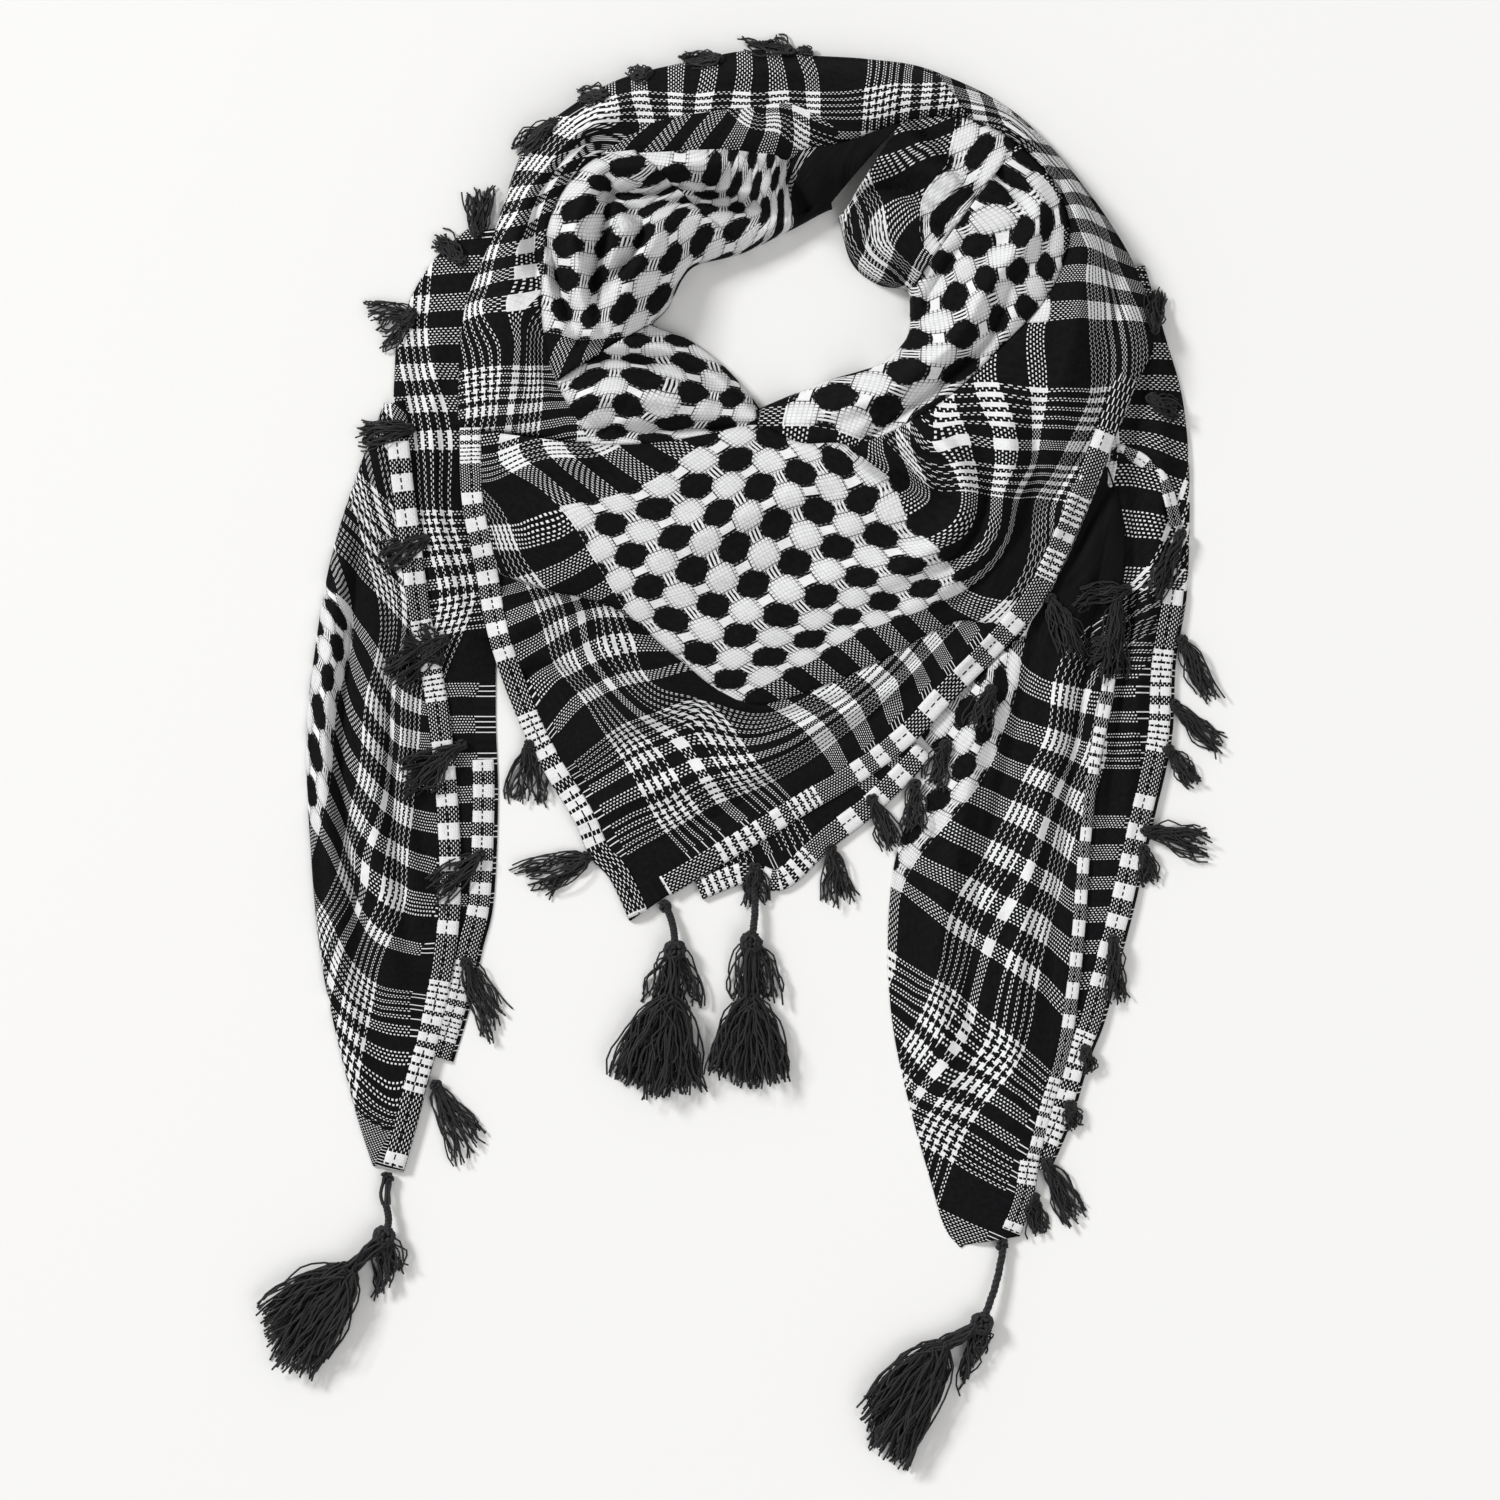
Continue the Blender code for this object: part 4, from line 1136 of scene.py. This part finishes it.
def check_places(plan, flat):
    """Where each point lies in the check, in metres from the hems."""
    places = cloth_place(plan["spots"])(flat.reshape(-1, 2) * MM)
    clear = plan.get("clear", 0)
    pleat_at, pleat_depth = plan.get("pleat", (-1, 0))
    places[:, 0] -= np.where(places[:, 0] < pleat_at, pleat_depth, 0)
    places[:, clear:] = np.maximum(places[:, clear:], HEM_CLEAR * MM)
    return places


def add_sheet(plan):
    """One thin sheet of cloth on the form of its packed solid."""
    points, drawn_in = stretch_grid(plan)
    if plan.get("tuck_start"):
        tuck_first_rows(points)
    points, flat = with_edges(points, drawn_in, plan["edges"])
    crumple_points(points)
    places = check_places(plan, flat)
    long = path_length(walk(plan["left"])) * MM
    nodes = plan.get("nodes", (plan["name"],))
    return make_cloth(plan["name"] + "_cloth", points, places, nodes)


sheets = {plan["name"]: add_sheet(plan) for plan in STRETCHES}
bpy.ops.object.select_all(action="DESELECT")

# %% [markdown]
# ## Turned hems
#
# Along each edge the cloth is turned twice and stitched, so the hem is a thicker strip about nine
# millimetres wide, white where it meets white bars and grey between. It could be folded out of the
# sheet's own grid, but its section is finer than that grid. So a strip of its own follows each rail
# and lies on whatever cloth is under it.

# %% Plan of the hem strips
# Columns: name, rail, first and last point, which side the cloth is on, which hem it is, and the
# distance along the other way, in millimetres, at even steps from end to end.
HEMS = (
    ("hem_left", "hem_left", 0.0, 8.9, 1, 2, (258, 209, 176, 142, 108, 84, 57, 40, 26, 8)),
    ("hem_right", "hem_right", 0.0, 8.9, -1, 1, (254, 225, 192, 172, 151, 112, 77, 50, 30, 8)),
    ("hem_shoulder", "outer", 15.9, 19.0, -1, 1, (352, 345, 318, 285, 254)),
    ("hem_back", "back_hem", 0.0, 7.0, -1, 1, (172, 150, 128, 108, 80, 68, 50, 30)),
    ("hem_tail_left", "tail_left_hem", 0.6, 9.0, -1, 2, (372, 316, 238, 168, 110, 48)),
    ("hem_side_left", "side_left_hem", 1.5, 6.0, -1, 2, (205, 160, 110, 70, 20)),
    ("hem_tail_right", "tail_right_hem", 3.6, 11.0, -1, 2, (262, 220, 160, 100, 45)),
    ("hem_side_right", "side_right_hem", 4.0, 13.0, -1, 2, (310, 250, 190, 130, 70, 20)),
    ("hem_curl", "curl_hem", 0.0, 3.0, -1, 2, (352, 290)),
    ("hem_tip_left", "tail_left_tip", 0.0, 2.9, -1, 2, (48, 4)),
    ("hem_tip_right", "tail_right_tip", 0.0, 1.9, -1, 2, (45, 4)),
)
HEM_WIDTHS = {"hem_tail_right": 0.6, "hem_curl": 0.62, "hem_tip_right": 0.9}
print("hem strips to make", len(HEMS))

# %% [markdown]
# ## Finding the cloth below
#
# Strips and threads have to lie on the cloth and not in it. A shrinkwrap modifier works on whole
# objects. A ray dropped on a tree of all the sheets gives the height at any one place.

# %% Height of the cloth at a place
DROP_FROM = 0.2


def cloth_tree():
    """Every sheet made so far, as one shape that rays can be dropped on."""
    corners = []
    faces = []
    for sheet in sheets.values():
        first = len(corners)
        corners.extend(vertex.co.copy() for vertex in sheet.data.vertices)
        faces.extend(tuple(first + c for c in face.vertices) for face in sheet.data.polygons)
    return BVHTree.FromPolygons(corners, faces)


cloth_below = cloth_tree()


def top_of_cloth(x, y, otherwise=0.5):
    """The height of the cloth at a place, all in millimetres."""
    hit = cloth_below.ray_cast(Vector((x * MM, y * MM, DROP_FROM)), Vector((0, 0, -1)))[0]
    return hit.z / MM if hit else otherwise


print("cloth is", round(top_of_cloth(-88, 200), 1), "mm high on the left of the neck")

# %% [markdown]
# ## Making the strips
#
# The section across a strip is nine points: a rolled edge, a rounded back and a seam that dips at
# the stitches. It is carried along the rail. The heights found below it are averaged over some
# neighbours, because a hem is stiffer than the cloth that it ends.

# %% Hem strips
# Columns: how far in from the edge, and how high, in millimetres.
HEM_SECTION = ((-0.6, -0.9), (-0.3, 0.1), (0.6, 0.6), (2.5, 0.8), (4.3, 0.55), (4.8, 0.55),
               (6.5, 0.8), (8.3, 0.5), (9.2, -0.1))
PROBES = (2.0, 4.5, 8.5)
HEM_LIFT = 0.36
HEM_SINK = 0.3
HEM_LOWEST = 0.4
NEIGHBOURS = 4
RAIL_STEPS = 300


def level_below(middle, normal):
    """Heights of the cloth under a strip, at three places across it, smoothed along it."""
    count = len(middle)
    under = np.zeros((count, len(PROBES)))
    for row in range(count):
        for column, step in enumerate(PROBES):
            x, y = middle[row, :2] - normal[row] * step
            under[row, column] = top_of_cloth(x, y, middle[row, 2])
    around = np.pad(under, ((NEIGHBOURS, NEIGHBOURS), (0, 0)), mode="edge")
    shifted = [around[k:k + count] for k in range(2 * NEIGHBOURS + 1)]
    return np.maximum(np.mean(shifted, axis=0), under - HEM_SINK)


def add_hem(name, rail, first, last, inward, way, marks):
    """One strip along a rail, as wide as HEM_SECTION times its own share."""
    share = HEM_WIDTHS.get(name, 1.0)
    steps = range(RAIL_STEPS + 1)
    path = [rail_point(RAILS[rail], first + (last - first) * k / RAIL_STEPS) for k in steps]
    count = int(path_length(path) / CLOTH_STEP)
    middle = spread(path, count)
    tangent = np.gradient(middle[:, :2], axis=0)
    tangent /= np.linalg.norm(tangent, axis=1, keepdims=True)
    normal = np.stack([tangent[:, 1], -tangent[:, 0]], 1) * inward
    points = np.zeros((count, len(HEM_SECTION), 3))
    places = np.zeros((count, len(HEM_SECTION), 2))
    along = np.interp(np.linspace(0, 1, count), np.linspace(0, 1, len(marks)), marks)
    under = level_below(middle, normal)
    for row in range(count):
        level = np.interp([offset for offset, _ in HEM_SECTION], PROBES, under[row])
        for column, (offset, rise) in enumerate(HEM_SECTION):
            points[row, column, :2] = middle[row, :2] - normal[row] * offset * share
            points[row, column, 2] = max(level[column] + rise + HEM_LIFT, HEM_LOWEST)
            places[row, column] = (along[row], offset) if way == 2 else (offset, along[row])
    return make_cloth(name + "_strip", points, places.reshape(-1, 2) * MM)


hems = [add_hem(*row) for row in HEMS]
print("hem strips", len(hems))

# %% [markdown]
# ## The fold inside the top
#
# Between the outer band and the neck a short fold of the same cloth turns over at a slant. It lies
# over the sheets beside it and has two rails of its own. The tree for the rays is made again after
# it, so that the tassels find it too.

# %% Top fold
RAILS["top_fold_outer"] = (
    (-64, 268, 20), (-40, 285, 19), (-5, 291, 18), (25, 294, 18), (45, 284, 19),
)
RAILS["top_fold_inner"] = (
    (-55, 262, 19), (-30, 264, 19), (-2, 264, 18), (25, 267, 18), (50, 275, 19),
)
top_plan = {
    "name": "top_fold", "left": (("top_fold_outer", 0, 4),), "right": (("top_fold_inner", 0, 4),),
    "crown": (2, 6, 7, 6, 2), "spots": TOP_FOLD_SPOTS, "edges": ("fold", "fold"), "nodes": (),
}
sheets["top_fold"] = add_sheet(top_plan)
cloth_below = cloth_tree()
bpy.ops.object.select_all(action="DESELECT")

# %% [markdown]
# ## Finish of the threads
#
# The tassels are the same black cotton as the yarn, but loose threads catch more light than woven
# ones, so their colour is painted a little paler, as painted light, and their finish is a little
# shinier. A fine noise stands for the twist, which is too small to model.

# %% Thread finish
# Painted light: both thread tones are paler than the black yarn, for the light that loose threads catch.
THREAD_TONES_WITH_PAINTED_LIGHT = ((0.007, 0.007, 0.008, 1), (0.04, 0.04, 0.043, 1))
THREAD_GRAIN = 1400.0
THREAD_RELIEF = {"Strength": 0.5, "Distance": 0.0003}
THREAD_ROUGHNESS = 0.8
THREAD_SHINE = 0.25


def thread_finish(name):
    """Dull black cotton thread with a fine grain, painted a little paler for the light it catches."""
    thread = Finish(name)
    place = thread.node("ShaderNodeTexCoord")
    grain = thread.node("ShaderNodeTexNoise", {}, {
        "Vector": place.outputs["Object"], "Scale": THREAD_GRAIN, "Detail": 2.0})
    tone = thread.number(grain.outputs[0])
    thread.feed("Base Color", thread.mix(tone, *THREAD_TONES_WITH_PAINTED_LIGHT))
    bump = thread.node("ShaderNodeBump", {}, {**THREAD_RELIEF, "Height": tone})
    thread.feed("Normal", bump.outputs[0])
    thread.surface.inputs["Roughness"].default_value = THREAD_ROUGHNESS
    thread.surface.inputs["Specular IOR Level"].default_value = THREAD_SHINE
    return thread.material


black_thread = thread_finish("black_thread")
print("nodes in the thread's finish", len(black_thread.node_tree.nodes))

# %% [markdown]
# ## Where the tassels are
#
# Each corner of the scarf carries a twisted cord, a bound knot and a long skirt of cotton threads.
# Small tassels are knotted into the hem about every fifty millimetres. Their places were read in
# the photograph's frame. Ten of the small ones stand for solids of the packed model, and the others
# are smaller parts of the hem that are in this scene alone.

# %% Places of the tassels, in the picture's frame
# Columns: where the cord starts, its knot, the two ends of the short tuft, the neck of the skirt,
# and three places along the skirt's edge.
CORNER_TASSELS = (
    ((664, 902), (675, 950), ((640, 1004), (706, 1006)), (669, 1000),
     ((608, 1070), (650, 1096), (705, 1086))),
    ((752, 872), (751, 942), ((728, 1000), (787, 1000)), (750, 1000),
     ((708, 1068), (745, 1086), (791, 1078))),
    ((388, 1172), (385, 1236), ((374, 1300), (406, 1264)), (350, 1268),
     ((259, 1302), (276, 1362), (322, 1374))),
    ((1004, 1238), (981, 1322), ((956, 1392), (988, 1342)), (940, 1346),
     ((861, 1396), (872, 1446), (907, 1467))),
)
# Columns: its node, where the thread is knotted in, and its tips.
NAMED_TASSELS = (
    ("hem_tassel_top", (790, 55), ((740, 42), (775, 40))),
    ("hem_tassel_left", (412, 315), ((364, 305), (385, 352))),
    ("hem_tassel_bib_1", (530, 745), ((505, 800), (545, 803))),
    ("hem_tassel_bib_2", (587, 857), ((512, 870), (545, 898))),
    ("hem_tassel_bib_3", (831, 850), ((827, 905), (855, 900))),
    ("hem_tassel_tail_left_1", (466, 962), ((506, 1012), (486, 1041))),
    ("hem_tassel_tail_left_2", (436, 1085), ((486, 1136), (458, 1164))),
    ("hem_tassel_right_1", (1182, 640), ((1217, 697), (1203, 700))),
    ("hem_tassel_right_2", (1174, 705), ((1222, 738), (1218, 758))),
    ("hem_tassel_right_3", (1146, 830), ((1210, 831), (1206, 860))),
)
# Columns: where the thread is knotted in, and its tips.
PLAIN_TASSELS = (
    ((478, 235), ((468, 192), (492, 188))), ((462, 262), ((432, 245), (440, 232))),
    ((410, 430), ((358, 425), (360, 447))), ((425, 540), ((378, 552), (390, 572))),
    ((445, 640), ((383, 668), (398, 690))), ((462, 745), ((396, 765), (405, 800))),
    ((480, 855), ((428, 880), (440, 905))), ((440, 660), ((405, 640), (425, 625))),
    ((450, 755), ((430, 790), (418, 780))), ((872, 800), ((885, 850), (900, 842))),
    ((915, 785), ((905, 830), (922, 828))), ((945, 745), ((925, 780), (940, 790))),
    ((990, 690), ((965, 725), (985, 730))), ((1050, 600), ((1062, 660), (1088, 655))),
    ((1115, 600), ((1100, 680), (1128, 675))), ((1152, 330), ((1152, 290), (1165, 292))),
    ((1150, 400), ((1178, 405), (1176, 422))), ((1180, 535), ((1145, 590), (1160, 602))),
    ((1168, 750), ((1190, 788), (1200, 780))), ((1143, 850), ((1140, 885), (1158, 882))),
    ((1113, 940), ((1106, 1000), (1125, 1005))), ((1085, 1050), ((1086, 1075), (1092, 1065))),
    ((1070, 1105), ((1068, 1130), (1080, 1125))), ((1046, 1162), ((1066, 1228), (1086, 1215))),
    ((1034, 1198), ((1034, 1238), (1048, 1232))), ((718, 62), ((680, 56), (690, 68))),
    ((803, 55), ((800, 48), (810, 50))), ((605, 99), ((578, 92), (582, 104))),
    ((553, 126), ((512, 148), (528, 158))), ((648, 76), ((628, 72), (634, 82))),
    ((755, 868), ((744, 905), (768, 900))), ((1125, 590), ((1080, 590), (1075, 610))),
    ((1108, 640), ((1085, 650), (1090, 668))),
)
HEM_TASSELS = NAMED_TASSELS + tuple((None, *row) for row in PLAIN_TASSELS)
print("corner tassels", len(CORNER_TASSELS), "hem tassels", len(HEM_TASSELS))

# %% [markdown]
# ## One thread
#
# Hair particles could make a tassel, but the threads would all part in the same way. Here each
# thread is a thin tube on a line of its own. It wanders a little, lies on the cloth below it, and
# in a skirt it spreads sideways early and then runs on, so the skirt swells like a bell.

# %% One thread
STRAND_POINTS = 9
# Columns: share of the thread's wobble, and half waves along the thread.
SWAYS = ((1.0, 1), (0.6, 2), (0.3, 4))
SWELL_POWER = 0.55
DROP_POWER = 0.5


def strand(start, end, radius, wobble=0.0, lie=False, aim=None):
    """The plan of one thread: both ends, half its thickness, its wobble, if it lies down, its aim."""
    return start, end, radius, wobble, lie, aim


def strand_points(start, end, wobble, chance, lie, aim):
    """The points of one thread. With an aim, it spreads to the side of it early."""
    span = end - start
    beside = Vector((-span.y, span.x, 0)).normalized()
    swings = [chance.uniform(-1, 1) * wobble * part for part, _ in SWAYS]
    swell = span - aim * span.dot(aim) if aim else Vector((0, 0, 0))
    points = []
    for number in range(STRAND_POINTS):
        share = number / (STRAND_POINTS - 1)
        sway = sum(swing * math.sin(waves * math.pi * share) for swing, (_, waves) in zip(swings, SWAYS))
        point = start.lerp(end, share) + beside * sway + swell * (share ** SWELL_POWER - share)
        if lie:
            floor = top_of_cloth(point.x, point.y, 0.0) + end.z
            point.z = max(start.z + (floor - start.z) * share ** DROP_POWER, floor)
        points.append(point)
    return points


print("points in a thread", STRAND_POINTS)

# %% [markdown] ## A bundle of threads  All the threads of one tassel are splines of one curve
# object. A bevel gives each its thickness, thinner or thicker by its own radius, and the curve is
# made a mesh at the end.

# %% A bundle of threads
def add_thread_bundle(name, strands, seed):
    """One object that holds every thread of one tassel."""
    bpy.ops.curve.primitive_bezier_curve_add()
    bundle = bpy.context.object
    bundle.name = name
    bundle.data.splines.clear()
    bundle.data.bevel_depth = MM
    bundle.data.bevel_resolution = 0
    bundle.data.use_fill_caps = True
    chance = random.Random(seed)
    for start, end, radius, wobble, lie, aim in strands:
        points = strand_points(Vector(start), Vector(end), wobble, chance, lie, aim)
        spline = bundle.data.splines.new("POLY")
        spline.points.add(len(points) - 1)
        for number, point in enumerate(points):
            spline.points[number].co = (*(point * MM), 1)
            spline.points[number].radius = radius
    bpy.ops.object.convert(target="MESH")
    bundle = bpy.context.object
    bundle.data.shade_smooth()
    bundle.data.materials.append(black_thread)
    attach(bundle, "root")
    return bundle


print("threads wear", black_thread.name)

# %% [markdown]
# ## Skirts, knots and cords
#
# Three kinds of threads make every tassel. A fan runs from a knot to a spread edge. Short lengths
# wound round a place make a knot, which reads as one because no turn is quite level. Three plies
# that wind round each other make a cord, as a cord is made in fact.

# %% Fans, wound knots and twisted cords
KNOT_ANGLE = 2.4
KNOT_SQUASH = (0.8, 0.6)
PLIES = 3
PLY_APART = 2.1
PIECES_IN_TURN = 4
PIECE_LENGTH = 1.15
PLY_THICK = 0.52


def somewhere(chance):
    """A random place on the level, within one millimetre each way."""
    return Vector((chance.uniform(-1, 1), chance.uniform(-1, 1), 0))


def fan_strands(knot, ends, group, chance):
    """Threads from a knot to a spread edge, uneven at their tips. The groups are named below."""
    count, root, lift, radius, wobble = group
    middle = sum((Vector(end) for end in ends), Vector((0, 0, 0))) / len(ends)
    aim = middle - knot
    aim.z = 0
    aim.normalize()
    strands = []
    for number in range(count):
        share = (number + 0.5) / count + chance.uniform(-0.9, 0.9) / count
        place = min(max(share, 0), 0.999) * (len(ends) - 1)
        end = Vector(ends[int(place)]).lerp(Vector(ends[int(place) + 1]), place - int(place))
        end = Vector(knot).lerp(end, chance.uniform(0.80, 1.05))
        end += somewhere(chance) * wobble * 0.5
        end.z = radius + chance.random() ** 2 * lift
        start = Vector(knot) + somewhere(chance) * root
        start.z += chance.uniform(-0.5, 0.5) * root
        strands.append(strand(start, end, radius, wobble, True, aim))
    return strands


def wound_knot(knot, radius, turns, thread):
    """Short lengths of thread wound round a knot."""
    strands = []
    for turn in range(turns):
        angle = turn * KNOT_ANGLE
        height = turn / (turns - 1) * 2 - 1
        ring = math.sqrt(max(1 - height * height, 0.05)) * radius
        ends = []
        for at, squash in zip((angle, angle + 1), KNOT_SQUASH):
            ends.append(Vector((math.cos(at) * ring, math.sin(at) * ring, height * radius * squash)))
        strands.append(strand(knot + ends[0], knot + ends[1], thread, thread * 0.5))
    return strands


def twisted_cord(start, end, thick, turns):
    """Plies that wind round each other from start to end."""
    strands = []
    aim = end - start
    beside = Vector((-aim.y, aim.x, 0)).normalized()
    pieces = turns * PIECES_IN_TURN
    for ply in range(PLIES):
        for number in range(pieces):
            ends = []
            for at in (number, number + PIECE_LENGTH):
                angle = at / PIECES_IN_TURN * 2 * math.pi + ply * PLY_APART
                bend = math.sin(at / pieces * math.pi) * thick * 0.8
                place = start.lerp(end, at / pieces)
                place += beside * (math.cos(angle) * thick * 0.5 + bend)
                ends.append(place + Vector((0, 0, math.sin(angle) * thick * 0.5)))
            strands.append(strand(ends[0], ends[1], thick * PLY_THICK))
    return strands


def in_mm(spot, height=0.0):
    """A place in the picture's frame, in the packed model's millimetres."""
    x, y = floor_place(*spot)
    return Vector((x / MM, y / MM, height))


print("a cord has", PLIES, "plies")

# %% [markdown]
# ## Corner tassels
#
# The skirt is two fans, long threads and shorter ones over them, so that it thickens towards its
# neck. A bundle fills the way from the knot to the neck, and a tuft hangs beside it. The cord of
# the third tassel starts as a flat loop of three threads.

# %% Corner tassels, in millimetres
# Columns: how many threads, how far apart they start, how high they heap up, half their thickness,
# and how much they wander.
SKIRT = (190, 3.6, 10.0, 0.45, 3.2)
SHORT_SKIRT = (60, 3.6, 12.0, 0.45, 3.0)
KNOT_TO_NECK = (40, 2.4, 9.0, 0.5, 1.6)
TUFT = (46, 2.4, 6.0, 0.42, 3.4)
CORD_HEIGHT = 2.8
KNOT_HEIGHT = 6.0
NECK_HEIGHT = 6.5
CORD_THICK = 2.0
LOOPED_TASSEL = 3
# Columns: radius, how many lengths of thread, and half their thickness.
CORNER_KNOT = (4.4, 34, 1.15)
CORD_START = (2.4, 12, 0.8)


def corner_cord(number, start, knot):
    """The cord from the corner to the knot. One of them starts as a loop."""
    if number != LOOPED_TASSEL:
        return twisted_cord(start, knot, CORD_THICK, 5)
    eye = start.lerp(knot, 0.5)
    strands = [strand(start, eye, 0.9)]
    for aside in (-1.2, 1.4):
        move = Vector((aside, 0, 0))
        strands.append(strand(start + move, eye + move, 0.8, aside))
    return strands + twisted_cord(eye, knot, CORD_THICK, 3)


def corner_tassel(number, row):
    """One corner tassel, in place of its packed solid."""
    cord_start, knot, tuft, neck, skirt = row
    chance = random.Random(number)
    start = in_mm(cord_start, CORD_HEIGHT)
    knot = in_mm(knot, KNOT_HEIGHT)
    neck = in_mm(neck, NECK_HEIGHT)
    skirt = [in_mm(spot) for spot in skirt]
    tuft = [in_mm(spot) for spot in tuft]
    short = [neck.lerp(spot, 0.72) for spot in skirt]
    past_neck = [knot.lerp(neck, 1.25) + Vector((aside, 0, 0)) for aside in (-4, 4)]
    strands = fan_strands(neck, skirt, SKIRT, chance)
    strands += fan_strands(neck, short, SHORT_SKIRT, chance)
    strands += fan_strands(knot, past_neck, KNOT_TO_NECK, chance)
    strands += fan_strands(knot, tuft, TUFT, chance)
    strands += corner_cord(number, start, knot)
    strands += wound_knot(knot, *CORNER_KNOT)
    strands += wound_knot(start.lerp(knot, 0.08), *CORD_START)
    bundle = add_thread_bundle(f"corner_tassel_{number}_threads", strands, 10 + number)
    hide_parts(f"corner_tassel_{number}")
    return bundle


for number, row in enumerate(CORNER_TASSELS, start=1):
    tassel = corner_tassel(number, row)
    print(tassel.name, len(tassel.data.polygons), "faces")

# %% [markdown]
# ## Hem tassels
#
# A hem tassel is one thin bundle drawn through the hem and knotted. Its threads part into two tips,
# with some short threads near the knot. One recipe makes all of them, and each draws its own chance
# numbers, so no two are the same.

# %% Hem tassels, in millimetres, with the same columns as the corner tassels' groups
BOTH_TIPS = (22, 1.4, 4.0, 0.38, 3.0)
ONE_TIP = (6, 1.2, 3.0, 0.38, 2.5)
NEAR_KNOT = (8, 1.2, 4.0, 0.4, 2.0)
TIP_WIDTH = 2.5
KNOT_RISE = 1.6
KNOT_LOWEST = 3.2
HEM_KNOT = (2.3, 16, 0.8)


def hem_tassel(number, row):
    """One hem tassel, in place of its packed solid where it has one."""
    node, root, tips = row
    chance = random.Random(100 + number)
    knot = in_mm(root)
    knot.z = max(top_of_cloth(knot.x, knot.y, 0.5) + KNOT_RISE, KNOT_LOWEST)
    ends = [in_mm(tip) for tip in tips]
    strands = fan_strands(knot, ends, BOTH_TIPS, chance)
    for end in ends:
        beside = (end - knot).cross(Vector((0, 0, 1))).normalized() * TIP_WIDTH
        strands += fan_strands(knot, [end - beside, end + beside], ONE_TIP, chance)
    halfway = [knot.lerp(end, 0.5) for end in ends]
    strands += fan_strands(knot, halfway, NEAR_KNOT, chance)
    strands += wound_knot(knot, *HEM_KNOT)
    name = node + "_threads" if node else f"hem_tassel_{number}"
    bundle = add_thread_bundle(name, strands, 200 + number)
    if node:
        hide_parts(node)
    return bundle


small = [hem_tassel(number, row) for number, row in enumerate(HEM_TASSELS, start=1)]
print("hem tassels", len(small))

# %% [markdown]
# ## Table top
#
# A smooth off-white surface, a shade warmer than the light. A flat colour alone would look like a
# screen, so a broad noise moves it between two near tones.

# %% Finish of the table
TABLE_COLOURS = ((0.83, 0.83, 0.82, 1), (0.87, 0.865, 0.855, 1))
TABLE_ROUGHNESS = 0.7
table_finish = Finish("table_paint")
speck = table_finish.node("ShaderNodeTexNoise", {}, {"Scale": 3.0, "Detail": 2.0})
tone = table_finish.number(speck.outputs[0])
table_finish.feed("Base Color", table_finish.mix(tone, *TABLE_COLOURS))
table_finish.surface.inputs["Roughness"].default_value = TABLE_ROUGHNESS
table_top.data.materials.append(table_finish.material)
print("table finish", table_finish.material.name)

# %% [markdown] ## The end
